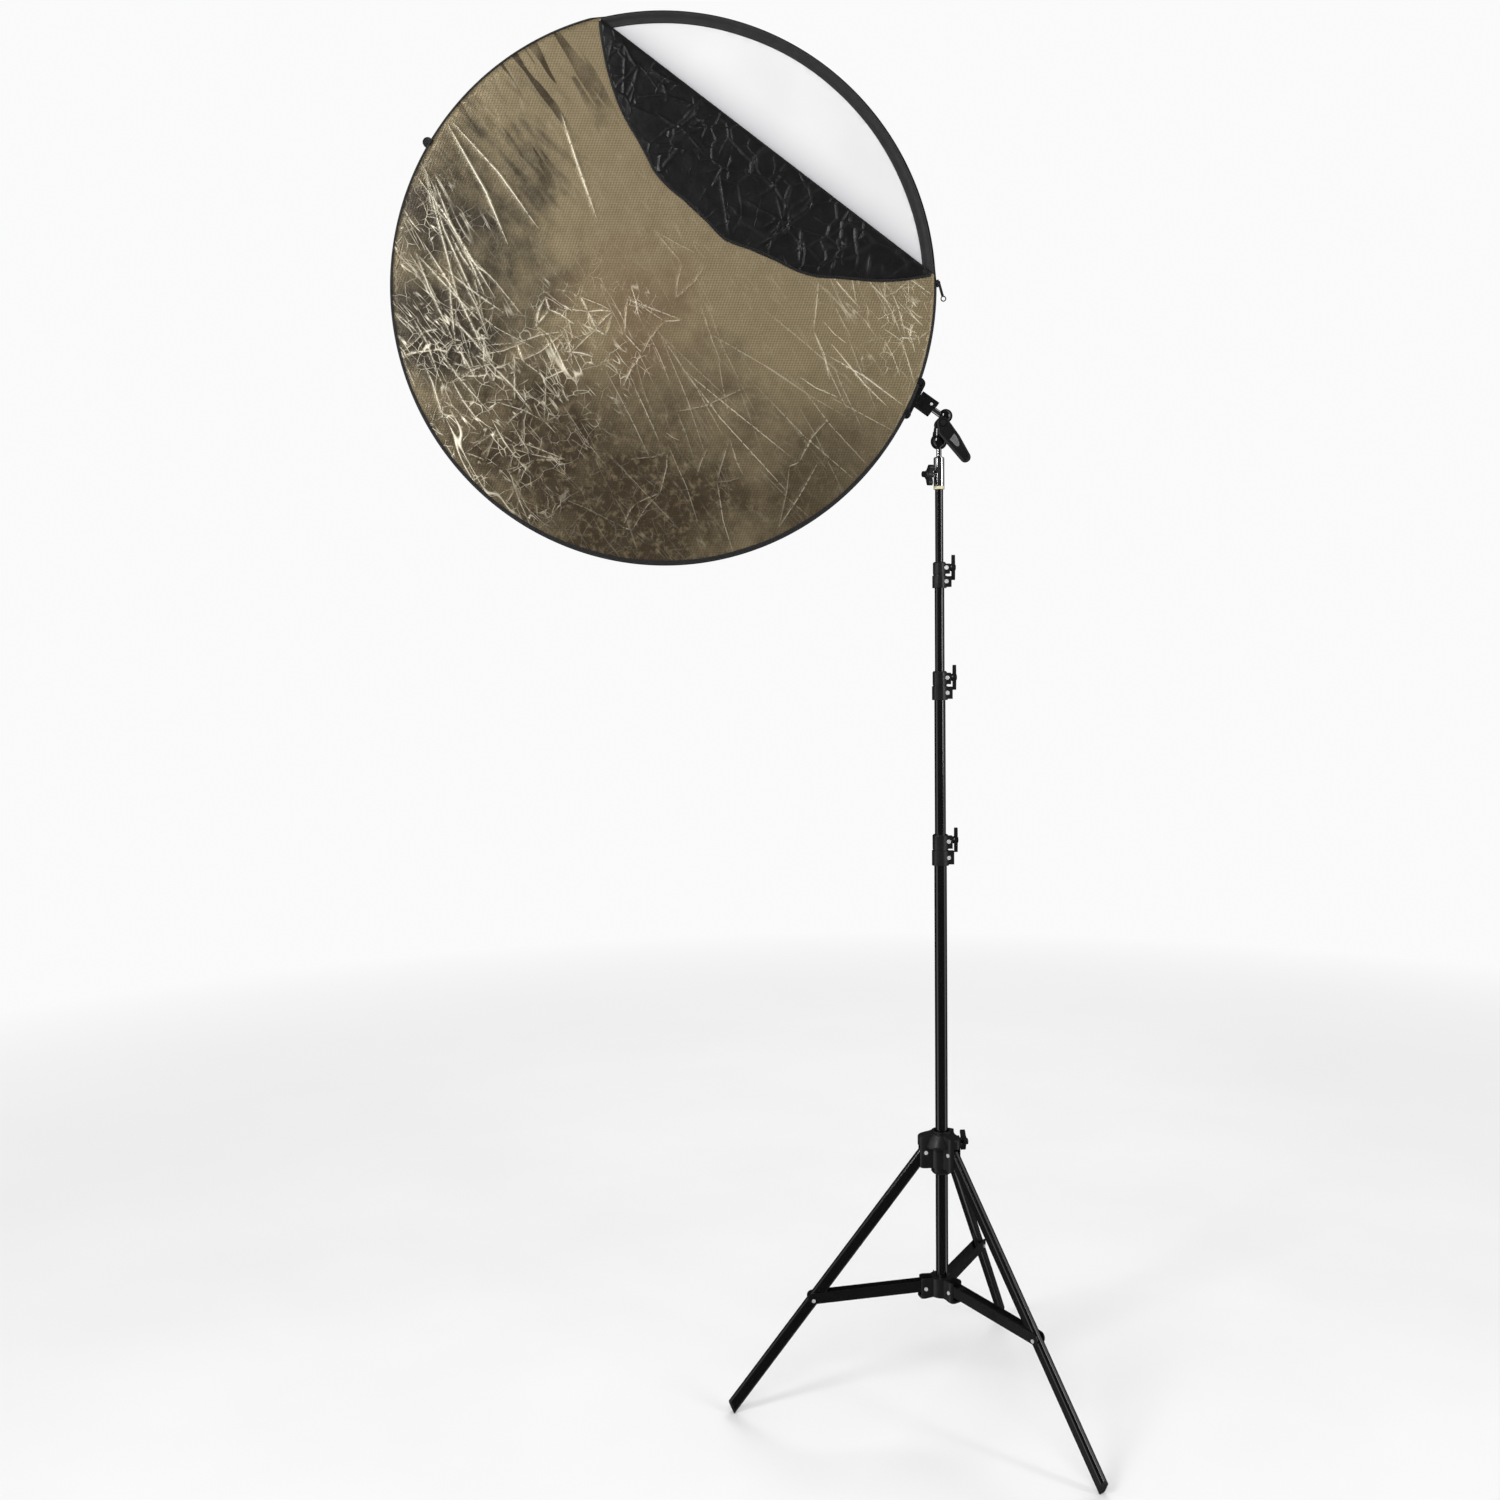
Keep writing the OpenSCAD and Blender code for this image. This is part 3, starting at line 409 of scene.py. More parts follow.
def mesh_object(name, points, faces, materials, body, crease=None, smooth=True):
    """Adds a piece that rides on a body. crease is how strong the crease line's painted highlight is at each
    point.
    """
    mesh = bpy.data.meshes.new(name)
    mesh.from_pydata([tuple(p) for p in points], [], [tuple(f) for f in faces])
    mesh.update()
    if crease is not None:
        values = mesh.attributes.new("crease", "FLOAT", "POINT").data
        values.foreach_set("value", np.asarray(crease, np.float32))
    if smooth:
        mesh.polygons.foreach_set("use_smooth", [True] * len(mesh.polygons))
    for m in materials:
        mesh.materials.append(m)
    obj = bpy.data.objects.new(name, mesh)
    bpy.context.scene.collection.objects.link(obj)
    if body:
        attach(obj, body)
    return obj


def resample(line, step):
    """Points along a polyline, no further apart than step."""
    out = [np.array(line[0], float)]
    for a, b in zip(line, line[1:]):
        a, b = np.array(a, float), np.array(b, float)
        count = max(1, int(math.ceil(np.linalg.norm(b - a) / step)))
        out += [a + (b - a) * i / count for i in range(1, count + 1)]
    return np.array(out)


def wander(rng, line, amount):
    """Breaks each stretch of a crease in two, a little off the straight line."""
    out = [line[0]]
    for a, b in zip(line, line[1:]):
        a, b = np.array(a, float), np.array(b, float)
        across = np.array([a[1] - b[1], b[0] - a[0]])
        bend = a + (b - a) * rng.uniform(0.35, 0.65) + across * rng.uniform(-amount, amount)
        out += [tuple(bend), tuple(b)]
    return out


def ray(start, heading, length):
    t = math.radians(heading)
    return [start, (start[0] + length * math.cos(t), start[1] + length * math.sin(t))]


def crumple(points, seeds, height):
    """Flat plates that meet at ridges: how far each point is from its nearest cell edge, roughly."""
    gaps = []
    for i in range(0, len(points), 4000):
        d = np.linalg.norm(points[i:i + 4000, None] - seeds[None], axis=2)
        d.sort(axis=1)
        gaps.append(d[:, 1] - d[:, 0])
    gap = np.concatenate(gaps)
    return height * (1 - np.clip(gap / 0.05, 0, 1))


RIDGE_HALF = 4.0 * MM        # from a crease's top to where the cloth is flat again
LINE_HALF = 1.2 * MM         # half the width of a crease's painted highlight line


def creased_sheet(outline, inside, creases, spacing, crease_step):
    """Triangulates a flat shape with every crease as a row of edges. Returns the points, triangles,
    crease height and crease line strength. Creases are (polyline, height, strength)."""
    low, high = np.min(outline, 0), np.max(outline, 0)
    points = [tuple(p) for p in outline]
    edges = [(i, (i + 1) % len(outline)) for i in range(len(outline))]
    row_step = spacing * math.sqrt(3) / 2
    rows = int((high[1] - low[1]) / row_step) + 1
    columns = int((high[0] - low[0]) / spacing) + 2
    grid = np.array([(low[0] + (i + 0.5 * (j % 2)) * spacing, low[1] + j * row_step)
                     for j in range(rows) for i in range(columns)])
    segments = []
    for line, height, strength in creases:
        dense = resample(line, crease_step)
        dense = dense[inside(dense, 3 * MM)]
        if len(dense) < 3:
            continue
        tangent = np.gradient(dense, axis=0)
        tangent /= np.linalg.norm(tangent, axis=1)[:, None] + 1e-12
        side = np.stack([-tangent[:, 1], tangent[:, 0]], 1)
        for offset in (0, LINE_HALF, -LINE_HALF, RIDGE_HALF, -RIDGE_HALF):
            moved = dense + side * offset
            points += [tuple(p) for p in moved[inside(moved, 1.5 * MM)]]
        taper = np.sin(np.linspace(0, math.pi, len(dense))) ** 0.5
        for k in range(len(dense) - 1):
            segments.append((*dense[k], *dense[k + 1], height * taper[k], strength * taper[k]))
    keep = inside(grid, spacing * 0.6)
    grid = grid[keep]
    points += [tuple(p) for p in grid]
    verts, _, tris, *_ = delaunay_2d_cdt([Vector(p) for p in points], edges, [], 0, 0.25 * MM)
    verts = np.array([tuple(v) for v in verts])
    rise, line = np.zeros(len(verts)), np.zeros(len(verts))
    for x0, y0, x1, y1, h, s in segments:
        lowest = np.array([min(x0, x1), min(y0, y1)]) - RIDGE_HALF
        highest = np.array([max(x0, x1), max(y0, y1)]) + RIDGE_HALF
        near = np.where(np.all((verts > lowest) & (verts < highest), axis=1))[0]
        if not len(near):
            continue
        p, a, d = verts[near], np.array([x0, y0]), np.array([x1 - x0, y1 - y0])
        t = np.clip(((p - a) @ d) / (d @ d + 1e-15), 0, 1)
        gap = np.linalg.norm(p - a - t[:, None] * d, axis=1)
        rise[near] = np.maximum(rise[near], h * np.clip(1 - gap / RIDGE_HALF, 0, 1))
        line[near] = np.maximum(line[near], s * np.clip(1 - gap / (LINE_HALF * (0.5 + s)), 0, 1))
    return verts, [t for t in tris if len(set(t)) == 3], rise, line


def thicken(obj, thickness, inner_material):
    """Gives a sheet its thickness. Its second side takes the material inner_material slots further on."""
    solid = obj.modifiers.new("thickness", "SOLIDIFY")
    solid.thickness = thickness
    solid.offset = 0
    solid.material_offset = inner_material
    solid.use_even_offset = False


SHEET_R = R - 4.2 * MM      # the covers' cloth ends inside their edge tape
CLOTH = 0.4 * MM             # thickness of every cloth
SHEET_STEP, CREASE_STEP = 8 * MM, 5 * MM


def circle_outline(radius, count, start=0.0, stop=360.0, closed=True):
    angles = np.radians(np.linspace(start, stop, count, endpoint=not closed))
    return np.stack([radius * np.cos(angles), radius * np.sin(angles)], 1)


def gold_outline():
    half = math.degrees(math.acos(FOLD_D / SHEET_R))
    arc = circle_outline(SHEET_R, 420, OPEN_MID + half, OPEN_MID - half + 360, closed=False)
    chord = resample([arc[-1], arc[0]], 6 * MM)[1:-1]
    return np.concatenate([arc, chord])


def inside_gold(p, margin):
    return (np.hypot(p[:, 0], p[:, 1]) < SHEET_R - margin) & (p @ OUTWARD < FOLD_D - margin)


def fan(draw, angle, radius, headings, reach, height, strength):
    """Long creases that spread from one place. Sizes are in units of the reflector's radius."""
    made = []
    for heading in headings:
        start = polar(angle + draw.uniform(-3, 3), radius + draw.uniform(-0.03, 0.03))
        line = ray(start, heading + draw.uniform(-4, 4), reach * draw.uniform(0.75, 1.15))
        made.append((line, height * draw.uniform(0.8, 1.2), strength * draw.uniform(0.8, 1.0)))
    return made


def front_fans(draw):
    """The long ridges: three fans at the left rim, one ridge high up, and two fans at the right."""
    return (fan(draw, 155, 0.97, (-78, -66, -55), 0.62, 2.3, 1.0) +
            fan(draw, 170, 0.92, (-72, -60, -48), 0.46, 2.2, 1.0) +
            fan(draw, 140, 0.98, (-50, -62), 0.50, 2.0, 1.0) +
            fan(draw, 118, 0.75, (-76,), 0.50, 1.5, 0.9) +
            fan(draw, 340, 0.65, (-30, -50), 0.32, 1.3, 0.8) +
            fan(draw, 280, 0.25, (-50, -42), 0.60, 0.9, 0.5))


def crease_web(draw, angle, radius, size, count, share, strength):
    """Creases that meet one another, as in crumpled paper: some edges of a net over random places."""
    middle = polar(angle, radius)
    places = [Vector((draw.gauss(middle[0], size), draw.gauss(middle[1], size))) for _ in range(count)]
    net = delaunay_2d_cdt(places, [], [], 0, 0.001)
    made = []
    for i, j in net[1]:
        start, stop = tuple(net[0][i]), tuple(net[0][j])
        if draw.random() < share and math.dist(start, stop) < 1.6 * size:
            made.append(([start, stop], draw.uniform(0.6, 1.4), strength * draw.uniform(0.4, 1.0)))
    return made


# Each web: the angle, radius and size of its patch, the places in its net, the share of the net's
# edges that are drawn, and how strong their lines are
WEBS = (
    (208, 0.34, 0.15, 30, 0.45, 0.75),
    (208, 0.62, 0.13, 28, 0.50, 0.80),
    (194, 0.84, 0.10, 20, 0.50, 1.00),
    (225, 0.82, 0.10, 16, 0.40, 0.55),
    (348, 0.80, 0.13, 10, 0.45, 0.75),
    (310, 0.70, 0.18, 10, 0.35, 0.45),
    (270, 0.70, 0.20, 18, 0.30, 0.35),
    (60, 0.08, 0.15, 10, 0.30, 0.35),
)


def crease_set(draw, main):
    """Main creases, then webs by region, long creases left, short ones right and faint cracks."""
    made = [(wander(draw, line, 0.04), h, s) for line, h, s in main]
    for web_of in WEBS:
        made += [(wander(draw, line, 0.06), h, s) for line, h, s in crease_web(draw, *web_of)]
    for _ in range(26):
        start = polar(draw.uniform(150, 205), draw.uniform(0.70, 0.97))
        made.append((wander(draw, ray(start, draw.gauss(-62, 12), draw.uniform(0.12, 0.34)), 0.05),
                     draw.uniform(0.7, 1.6), draw.uniform(0.35, 0.90)))
    for _ in range(16):
        start = polar(draw.uniform(-32, 2), draw.uniform(0.70, 0.96))
        made.append((wander(draw, ray(start, draw.gauss(128, 20), draw.uniform(0.06, 0.20)), 0.06),
                     draw.uniform(0.5, 1.0), draw.uniform(0.30, 0.70)))
    for _ in range(26):
        start = polar(draw.uniform(225, 350), draw.uniform(0.10, 0.80))
        made.append((wander(draw, ray(start, draw.gauss(-58, 16), draw.uniform(0.18, 0.50)), 0.03),
                     draw.uniform(0.4, 0.8), draw.uniform(0.12, 0.36)))
    return [([(x * R, y * R) for x, y in line], h * MM, s) for line, h, s in made]


def flap_cover_share(p):
    """1 on the part of the front cover that lies under the folded corner."""
    past = p @ OUTWARD
    mirrored = p + np.outer(2 * (FOLD_D - past), OUTWARD)
    return np.clip((R - np.hypot(mirrored[:, 0], mirrored[:, 1])) / (18 * MM), 0, 1)


def foil_panel(name, node, outline, inside, creases, material, w, front, seed):
    """One cover of the reflector: creases and crumpled plates that die out at the rim and at the fold."""
    verts, tris, rise, line = creased_sheet(outline, inside, creases, SHEET_STEP, CREASE_STEP)
    draw = np.random.default_rng(seed)
    seeds = draw.uniform(-R, R, (420, 2))
    radius = np.hypot(verts[:, 0], verts[:, 1])
    calm = np.clip((SHEET_R - radius) / (22 * MM), 0, 1)
    if front:
        from_line = np.clip((FOLD_D - verts @ OUTWARD) / (14 * MM), 0, 1)
        calm = calm * (1 - 0.95 * flap_cover_share(verts)) * from_line
    left = np.clip(0.35 - verts[:, 0] / R, 0.25, 1.1)      # the plates stand out most at the left
    swell = 0.5 * MM * np.sin(verts[:, 0] * 19 + 1) * np.sin(verts[:, 1] * 23)
    height = calm * (rise + left * crumple(verts, seeds, 1.3 * MM) + swell)
    side = 1 if front else -1
    at = np.concatenate([verts, (w + side * height)[:, None]], 1)
    if not front:
        tris = [tuple(reversed(t)) for t in tris]
    shown = line * np.clip(calm * 3, 0, 1)
    obj = mesh_object(name, to_frame(at), tris, [material, lining], "arm", crease=shown)
    thicken(obj, CLOTH, 1)
    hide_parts(node)


front_rng = random.Random(7)
foil_panel("gold_cover", "cover_front", gold_outline(), inside_gold,
           crease_set(front_rng, front_fans(front_rng)), gold, W_FRONT, True, 11)


def inside_disc(p, margin):
    return np.hypot(p[:, 0], p[:, 1]) < SHEET_R - margin


back_rng = random.Random(23)
back_fans = (fan(back_rng, 70, 0.8, (-110,), 0.55, 1.4, 0.8) +
             fan(back_rng, 200, 0.7, (-20, 10), 0.5, 1.3, 0.7))
foil_panel("silver_cover", "cover_back", circle_outline(SHEET_R, 420), inside_disc,
           crease_set(back_rng, back_fans), silver, W_BACK, False, 29)

# ---------- the folded corner ----------

FLAP_R = R - 4.5 * MM
FLAP_GAP = 0.8 * MM          # keeps the corner's sheet beside the cover's when it is closed
ROLL_LAP = 1.5 * MM          # how far the turn of the cloth runs on inside each sheet


def flap_reach(s):
    """How far the folded corner reaches in from the fold line, at a place along it."""
    reach = np.sqrt(np.maximum(FLAP_R ** 2 - s ** 2, 0)) - FOLD_D
    pull = 1 - 0.035 * np.abs(np.sin(s * 17 + 0.6)) - 0.015 * np.sin(s * 41)
    return np.maximum(reach, 0) * pull


FLAP_HALF = math.sqrt(FLAP_R ** 2 - FOLD_D ** 2) - 4 * MM
flap_s = np.linspace(-FLAP_HALF, FLAP_HALF, 220)
flap_edge = np.stack([flap_s, flap_reach(flap_s)], 1)


def from_fold(st):
    """Places given as (along the fold, in from the fold) in the reflector's frame."""
    return np.outer(st[:, 0], ALONG) + np.outer(FOLD_D - st[:, 1], OUTWARD)


def inside_flap(p, margin):
    low_enough = p[:, 1] < flap_reach(p[:, 0]) - margin
    return (np.abs(p[:, 0]) < FLAP_HALF - margin) & (p[:, 1] > FLAP_GAP + margin) & low_enough


def flap_creases(draw):
    """Long soft folds across the corner, and short ones between them."""
    made = []
    for count, shortest, longest, strength in ((12, 0.10, 0.22, 0.5), (22, 0.03, 0.09, 0.4)):
        for _ in range(count):
            s = draw.uniform(-0.90, 0.90) * FLAP_HALF
            start = (s, draw.uniform(0.05, 0.6) * float(flap_reach(np.array([s]))[0]))
            line = ray(start, draw.gauss(60, 40), draw.uniform(shortest, longest))
            made.append((wander(draw, line, 0.10), draw.uniform(1.2, 2.6) * MM,
                         strength * draw.uniform(0.3, 1.0)))
    return made


def folded_corner():
    """The corner's sheet, crumpled except along the fold and at its curved edge."""
    chord = resample([(flap_s[-1], FLAP_GAP), (flap_s[0], FLAP_GAP)], 6 * MM)
    outline = np.concatenate([flap_edge, chord])
    creases = flap_creases(random.Random(41))
    verts, tris, rise, line = creased_sheet(outline, inside_flap, creases, 6 * MM, 4 * MM)
    seeds = np.stack([np.random.default_rng(5).uniform(-FLAP_HALF, FLAP_HALF, 90),
                      np.random.default_rng(6).uniform(0, 0.2, 90)], 1)
    from_edge = np.clip((flap_reach(verts[:, 0]) - verts[:, 1]) / (26 * MM), 0, 1)
    calm = from_edge * np.clip(verts[:, 1] / (12 * MM), 0, 1)
    height = calm * (rise + crumple(verts, seeds, 1.2 * MM))
    points = to_frame(np.concatenate([from_fold(verts), (W_FLAP + height)[:, None]], 1))
    a, b, c = (points[i] for i in tris[len(tris) // 2])
    if np.cross(b - a, c - a)[1] > 0:
        tris = [tuple(reversed(t)) for t in tris]
    flap = mesh_object("folded_corner", points, tris, [lining, gold], "flap",
                       crease=line * calm)
    thicken(flap, CLOTH, 1)
    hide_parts("cover_flap")


folded_corner()


def swept(name, centres, ups, sides, profiles, materials, body, slot, closed=False):
    """Skins a closed profile along a path. profiles holds (side, up) offsets for each place on the path."""
    count, points = len(profiles[0]), []
    for c, up, side, profile in zip(centres, ups, sides, profiles):
        points += [c + side * p[0] + up * p[1] for p in profile]
    faces, rings = [], len(centres)
    for i in range(rings if closed else rings - 1):
        j = (i + 1) % rings
        faces += [(i * count + k, i * count + (k + 1) % count, j * count + (k + 1) % count, j * count + k)
                  for k in range(count)]
    if not closed:
        faces += [tuple(reversed(range(count))), tuple((rings - 1) * count + k for k in range(count))]
    return fix_normals(mesh_object(name, points, faces, materials, body))


def fix_normals(obj):
    bm = bmesh.new()
    bm.from_mesh(obj.data)
    bmesh.ops.recalc_face_normals(bm, faces=bm.faces)
    bm.to_mesh(obj.data)
    bm.free()
    return obj


def ring_path(angles):
    """Centres, the radial direction and the front direction for a path round the disc."""
    t = np.radians(angles)
    radial = np.stack([np.cos(t), np.zeros(len(t)), np.sin(t)], 1)
    return np.tile([CX, CY, CZ], (len(t), 1)), np.tile([0.0, -1.0, 0.0], (len(t), 1)), radial


def rounded(r0, r1, w0, w1, corner, steps=4):
    """Rounded rectangle in (radius, w), as a closed list of points."""
    corner = min(corner, (r1 - r0) / 2, (w1 - w0) / 2)
    out = []
    for cx, cy, start in ((r1 - corner, w1 - corner, 0), (r0 + corner, w1 - corner, 90),
                          (r0 + corner, w0 + corner, 180), (r1 - corner, w0 + corner, 270)):
        for i in range(steps + 1):
            t = math.radians(start + 90 * i / steps)
            out.append((cx + corner * math.cos(t), cy + corner * math.sin(t)))
    return out


EDGE_FRONT, EDGE_BACK = 8.0 * MM, -8.4 * MM
EDGE_FRONT_OPEN = -2.2 * MM  # where the cover is open, only its back half has tape


def edge_profile(angle):
    """Section of the black tape round the cover's edge, which is widest at the bottom of the disc."""
    gap = abs((angle - OPEN_MID + 180) % 360 - 180) - OPEN_HALF
    shut = min(1, max(0, (gap + 1.5) / 3))
    front = EDGE_FRONT_OPEN + (EDGE_FRONT - EDGE_FRONT_OPEN) * shut
    low = 0.5 - 0.5 * math.sin(math.radians(angle))
    width = (4.0 + 5.5 * low ** 2 + 0.3 * math.sin(math.radians(angle * 23))) * MM
    return rounded(R - max(width, 3.4 * MM), R + 0.2 * MM, EDGE_BACK, front, 1.4 * MM)


edge_angles = np.arange(0, 360, 0.75)
edge_profiles = [edge_profile(a) for a in edge_angles]
edge_tape = swept("cover_edge_tape", *ring_path(edge_angles), edge_profiles, [tape], "arm", "webbing", True)
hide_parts("cover_edge")

# Webbing round the diffuser, with the ring's pocket as a soft bulge near the rim
binding_lo, binding_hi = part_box("rim_binding")
BIND_OUT = (binding_hi.x - binding_lo.x) / 2 - 0.3 * MM
BIND_IN = R - 25 * MM


def binding_profile(angle):
    wave = 0.4 * MM * math.sin(math.radians(angle * 11)) * math.sin(math.radians(angle * 4 + 20))
    upper = []
    for i in range(15):
        t = i / 14
        r = BIND_IN + (BIND_OUT - BIND_IN) * t + wave * (1 - t)
        bulge = math.exp(-((r - (R - 8 * MM)) / (4.6 * MM)) ** 2)
        thick = (1.2 + 3.9 * bulge) * MM * min(1, (1.001 - t) * 9) ** 0.5 * min(1, t * 12 + 0.35)
        upper.append((r, thick))
    return upper + [(r, -w) for r, w in reversed(upper)]


bind_angles = np.arange(0, 360, 1.0)
binding = swept("diffuser_binding", *ring_path(bind_angles), [binding_profile(a) for a in bind_angles],
                [webbing], "arm", "webbing", True)
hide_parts("rim_binding")
DIFFUSER_R = BIND_IN + 6 * MM
DIFFUSER_STEP = 12 * MM


def inside_diffuser(p, margin):
    return np.hypot(p[:, 0], p[:, 1]) < DIFFUSER_R - margin


def white_diffuser():
    """The taut white cloth, which sags a little between its edges."""
    verts, tris, _, _ = creased_sheet(circle_outline(DIFFUSER_R, 300), inside_diffuser, [], DIFFUSER_STEP,
                                      DIFFUSER_STEP)
    taut = np.clip((BIND_IN - np.hypot(verts[:, 0], verts[:, 1])) / 0.05, 0, 1)
    sag = 0.7 * MM * np.sin(verts[:, 0] * 9 + 0.5) * np.sin(verts[:, 1] * 8) * taut
    points = to_frame(np.concatenate([verts, sag[:, None]], 1))
    diffuser = mesh_object("white_diffuser", points, tris, [diffuser_white], "arm")
    thicken(diffuser, CLOTH, 0)
    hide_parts("diffuser")


white_diffuser()

# Piping on the folded corner's curved edge
edge_2d = from_fold(flap_edge)
path = to_frame(np.concatenate([edge_2d, np.full((len(edge_2d), 1), W_FLAP + 0.1 * MM)], 1))
tangent = np.gradient(path, axis=0)
tangent /= np.linalg.norm(tangent, axis=1)[:, None]
front = np.tile([0.0, -1.0, 0.0], (len(path), 1))
PIPE = rounded(-2.4 * MM, 2.4 * MM, -0.65 * MM, 1.3 * MM, 0.7 * MM)
swept("corner_piping", path, front, np.cross(tangent, front), [PIPE] * len(path), [tape], "flap", "webbing")

ROLL_R = (W_FLAP - W_FRONT) / 2
ROLL_STEPS = 10


def fold_roll():
    """The turn of the cloth along the fold line, which bends between the cover and its folded corner."""
    section = [(-ROLL_LAP, -1.0)]
    section += [(ROLL_R * math.sin(math.pi * k / ROLL_STEPS), -math.cos(math.pi * k / ROLL_STEPS))
                for k in range(ROLL_STEPS + 1)]
    section += [(-ROLL_LAP, 1.0)]
    points, faces, row = [], [], len(section)
    roll_s = np.linspace(-FLAP_HALF, FLAP_HALF, 160)
    for s in roll_s:
        for past, rise in section:
            flat = ALONG * s + OUTWARD * (FOLD_D + past)
            points.append((flat[0], flat[1], W_HINGE + ROLL_R * rise))
    for i in range(len(roll_s) - 1):
        for first in range(i * row, (i + 1) * row - 1):
            faces.append((first, first + 1, first + row + 1, first + row))
    roll = fix_normals(mesh_object("fold_roll", to_frame(points), faces, [lining, gold], None,
                                   crease=np.zeros(len(points))))
    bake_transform(roll)


fold_roll()

# ---------- stitches and zip teeth ----------


def small_parts(name, frames, shape, material, body):
    """Copies of one small closed shape, (points, faces). frames holds (centre, along, side, up) of each."""
    points, faces = [], []
    for c, along, side, up in frames:
        base = len(points)
        points += [c + along * p[0] + side * p[1] + up * p[2] for p in shape[0]]
        faces += [tuple(base + i for i in f) for f in shape[1]]
    fix_normals(mesh_object(name, points, faces, [material], body, smooth=False))


def capsule(length, radius, height, sides=6):
    """A stitch: four rings of points, closed at both ends."""
    rings = ((-length / 2, 0.3), (-length / 3, 0.9), (length / 3, 0.9), (length / 2, 0.3))
    circle = [(math.cos(2 * math.pi * i / sides), math.sin(2 * math.pi * i / sides)) for i in range(sides)]
    points = [(x, radius * k * c, height * k * d) for x, k in rings for c, d in circle]
    faces = []
    for first in range(0, len(points) - sides, sides):
        for i in range(sides):
            j = (i + 1) % sides
            faces.append((first + i, first + j, first + sides + j, first + sides + i))
    last = len(points) - sides
    faces += [tuple(reversed(range(sides))), tuple(last + i for i in range(sides))]
    return points, faces


def around(radius, w, start, stop, pitch):
    """Places along an arc of the disc, with their directions."""
    count = int(math.radians(stop - start) * radius / pitch)
    out = []
    for i in range(count):
        t = math.radians(start) + (i + 0.5) * pitch / radius
        out.append((np.array([CX + radius * math.cos(t), CY - w, CZ + radius * math.sin(t)]),
                    np.array([-math.sin(t), 0, math.cos(t)]), np.array([math.cos(t), 0, math.sin(t)]),
                    np.array([0.0, -1.0, 0.0])))
    return out


open_start, open_stop = OPEN_MID - OPEN_HALF, OPEN_MID + OPEN_HALF
STITCH_PITCH, TOOTH_PITCH = 4.4 * MM, 2.6 * MM
stitch = capsule(3.2 * MM, 0.45 * MM, 0.35 * MM)
rim_stitches = around(BIND_IN + 3 * MM, 1.25 * MM, 0, 360, STITCH_PITCH)
small_parts("binding_stitches", rim_stitches, stitch, thread, "arm")
tape_stitches = around(R - 2 * MM, EDGE_FRONT, open_stop + 2, open_start + 358, STITCH_PITCH)
small_parts("edge_stitches", tape_stitches, stitch, thread, "arm")

TOOTH = (0.8 * MM, 1.0 * MM, 0.7 * MM)
tooth_points = [(x * TOOTH[0] * k, y * TOOTH[1] * k, z * TOOTH[2]) for z, k in ((-1, 1), (1, 0.7))
                for x, y in ((-1, -1), (1, -1), (1, 1), (-1, 1))]
tooth_faces = [(3, 2, 1, 0), (4, 5, 6, 7), (0, 1, 5, 4), (1, 2, 6, 5), (2, 3, 7, 6), (3, 0, 4, 7)]
tooth = (tooth_points, tooth_faces)
cover_teeth = around(R - 1.6 * MM, -1.7 * MM, open_start + 2, open_stop - 2, TOOTH_PITCH)
small_parts("zip_teeth_cover", cover_teeth, tooth, teeth_plastic, "arm")
corner_teeth = []
for at, along, up in zip(path[8:-8], tangent[8:-8], front[8:-8]):
    corner_teeth.append((at + up * 1.5 * MM, along, np.cross(along, up), up))
small_parts("zip_teeth_corner", corner_teeth, tooth, teeth_plastic, "flap")

# ---------- floor, light and camera ----------


BACKDROP = (0.96, 0.96, 0.96)
FLOOR_REACH = 30.0


def blend_shaders(n, share, first, second):
    """Mixes two shaders: only the first where share is 0, only the second where it is 1."""
    node = n.tree.nodes.new("ShaderNodeMixShader")
    for i, socket in enumerate((share, first, second)):
        n.tree.links.new(socket, node.inputs[i])
    return node.outputs[0]


def floor_material():
    """Pale matt floor that fades into the backdrop with distance."""
    n = Nodes("floor")
    far = n.add("VectorMath", {0: n.coords}, operation="LENGTH", out=1)
    tone = n.mix(n.spread(n.noise(1.5, 3.0), 0.3, 0.7), (0.86, 0.86, 0.86), (0.90, 0.90, 0.90))
    surface = n.add("BsdfDiffuse", {"Color": tone})
    glow = n.add("Emission", {"Color": (*BACKDROP, 1)})
    out = n.tree.nodes.new("ShaderNodeOutputMaterial")
    n.tree.links.new(blend_shaders(n, n.spread(far, 1.2, 5.0), surface, glow), out.inputs[0])
    return n.material


def studio_world():
    """The camera sees a pale backdrop. Polished parts see a dim room with two tall soft panels."""
    n = Nodes("studio", bpy.data.worlds.new("studio"))
    direction = n.add("TexCoord")
    x, y = (n.add("SeparateXYZ", {0: direction}, out=i) for i in (0, 1))
    bearing = n.math("ABSOLUTE", n.math("ARCTAN2", x, n.math("MULTIPLY", y, -1.0)))
    off_panel = n.math("ABSOLUTE", n.math("SUBTRACT", bearing, math.radians(78)))
    panel = n.spread(off_panel, math.radians(22), math.radians(6), 0.035, 0.9)
    seen_by_camera = n.add("LightPath", out=0)
    seen_polished = n.add("LightPath", out=3)
    room = n.add("Background", {"Color": (1, 1, 1, 1), "Strength": 0.50})
    mirrored = n.add("Background", {"Color": (1, 1, 1, 1), "Strength": panel})
    backdrop = n.add("Background", {"Color": (*BACKDROP, 1), "Strength": 1.0})
    out = n.tree.nodes.new("ShaderNodeOutputWorld")
    lit = blend_shaders(n, seen_polished, room, mirrored)
    n.tree.links.new(blend_shaders(n, seen_by_camera, lit, backdrop), out.inputs[0])
    return n.material


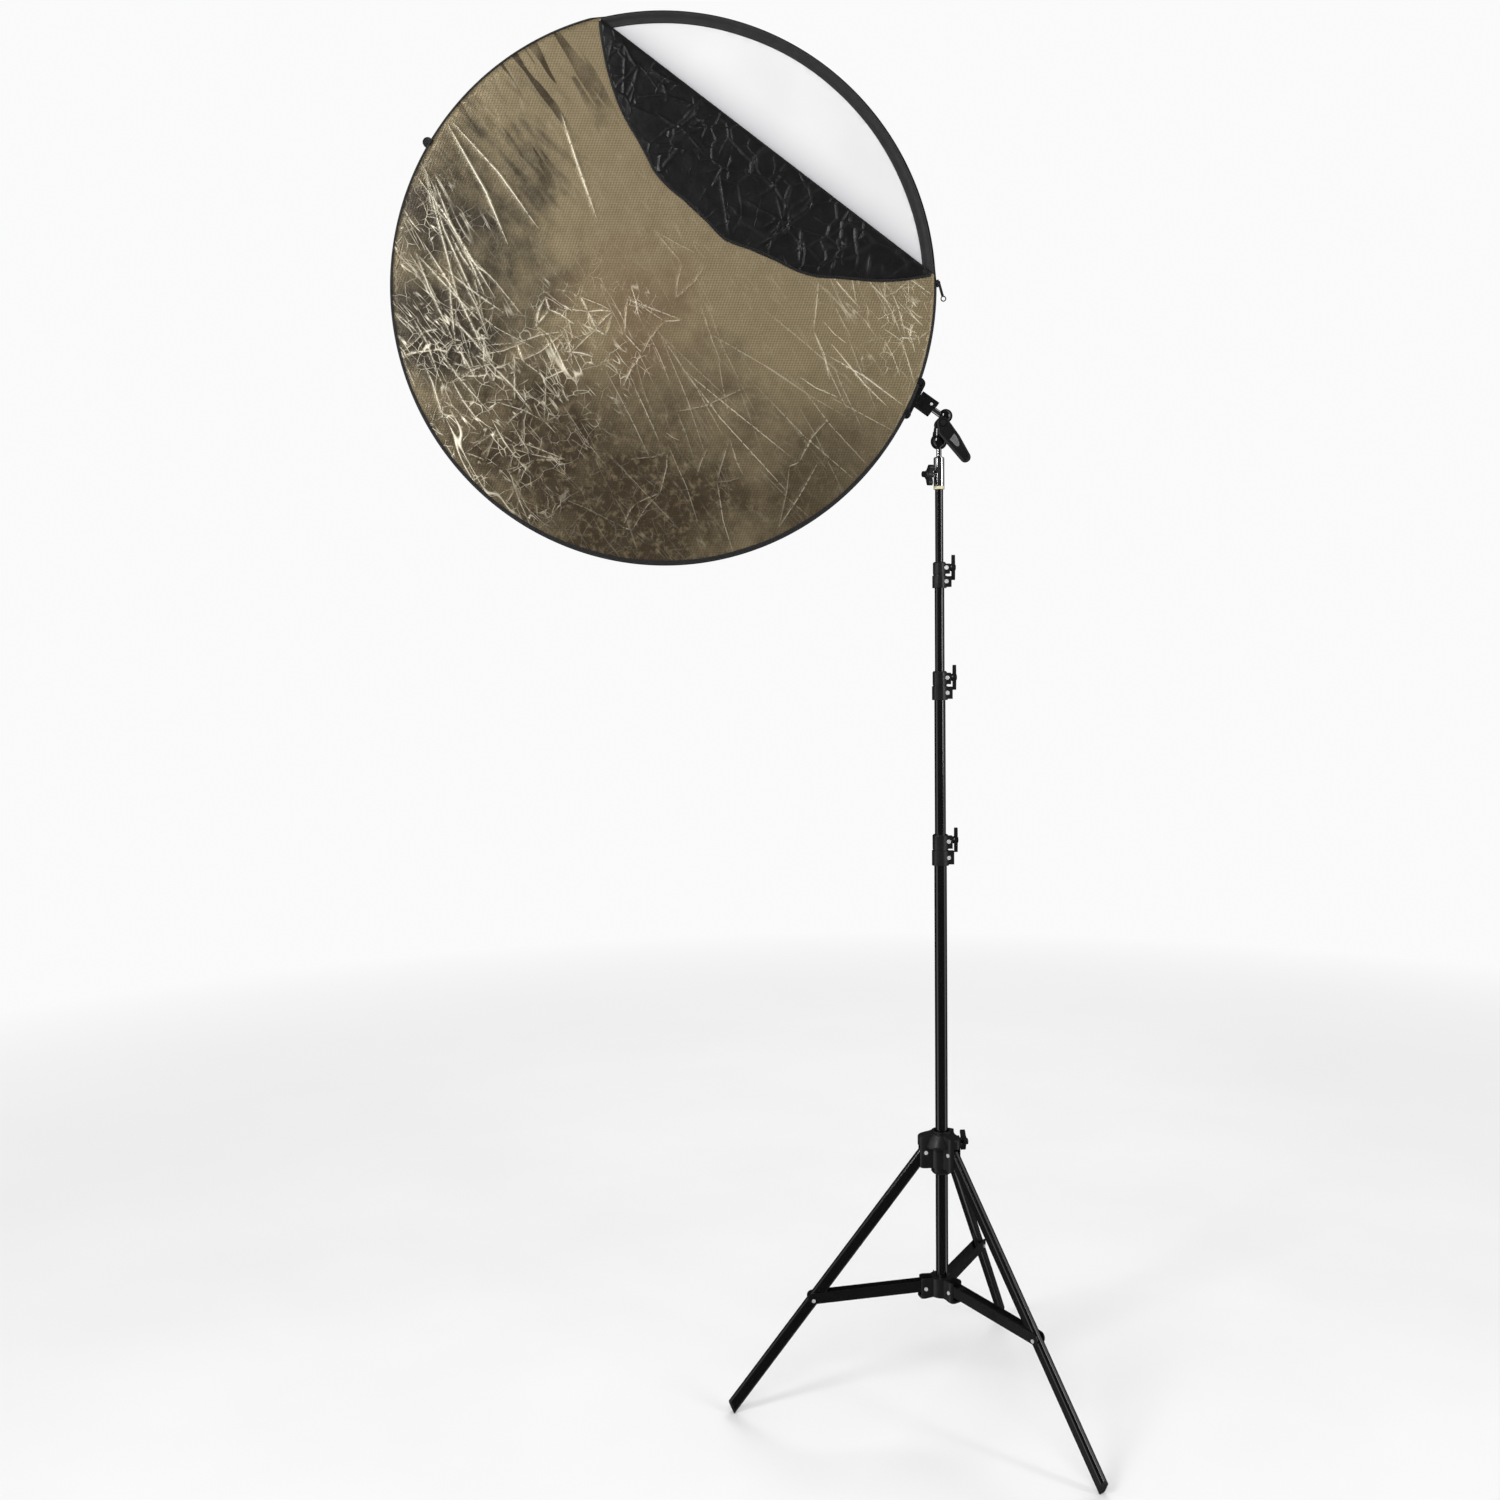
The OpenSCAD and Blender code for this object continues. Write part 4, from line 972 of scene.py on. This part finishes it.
floor_mesh = bpy.data.meshes.new("floor")
corners = [(x * FLOOR_REACH, y * FLOOR_REACH, 0) for x, y in ((-1, -1), (1, -1), (1, 1), (-1, 1))]
floor_mesh.from_pydata(corners, [], [(0, 1, 2, 3)])
floor_mesh.materials.append(floor_material())
floor = bpy.data.objects.new("floor", floor_mesh)
floor.visible_glossy = False
bpy.context.scene.collection.objects.link(floor)
bpy.context.scene.world = studio_world()
bpy.context.scene.view_settings.view_transform = "Standard"


def area_light(name, at, aim, size, power, mirrored=True):
    """A soft rectangular light. Parts that reflect don't show it where mirrored is False."""
    data = bpy.data.lights.new(name, "AREA")
    data.shape, data.size, data.size_y, data.energy = "RECTANGLE", size[0], size[1], power
    obj = bpy.data.objects.new(name, data)
    obj.location = at
    obj.rotation_euler = (Vector(aim) - Vector(at)).to_track_quat("-Z", "Y").to_euler()
    obj.visible_glossy = mirrored
    bpy.context.scene.collection.objects.link(obj)


area_light("key", (-3.2, -3.0, 3.6), (-0.4, 0, 1.8), (0.8, 2.4), 90)
area_light("fill", (3.4, -2.4, 2.2), (0, 0, 1.3), (0.6, 2.6), 40)
area_light("front", (-0.4, -3.6, 3.4), (-0.3, 0, 1.2), (2.6, 1.6), 60, mirrored=False)
area_light("back", (0.5, 3.2, 3.4), (-0.2, 0, 1.5), (2.4, 1.4), 60, mirrored=False)

# The photograph's viewpoint, fitted to the base tube's width, the column's line and the three feet
CAMERA_AT = (-0.3775, -3.0606, 1.5693)
PITCH, ROLL = math.radians(4.25), math.radians(-0.75)
ahead = Vector((0, math.cos(PITCH), -math.sin(PITCH)))
raised = Vector((0, math.sin(PITCH), math.cos(PITCH)))
right = Vector((1, 0, 0)) * math.cos(ROLL) + raised * math.sin(ROLL)
top = Vector((-1, 0, 0)) * math.sin(ROLL) + raised * math.cos(ROLL)
lens = bpy.data.cameras.new("camera")
lens.lens, lens.sensor_width = 37.09, 36.0
camera = bpy.data.objects.new("camera", lens)
camera.matrix_world = Matrix.Translation(CAMERA_AT) @ Matrix((right, top, -ahead)).transposed().to_4x4()
bpy.context.scene.collection.objects.link(camera)
bpy.context.scene.camera = camera

bpy.context.view_layer.update()
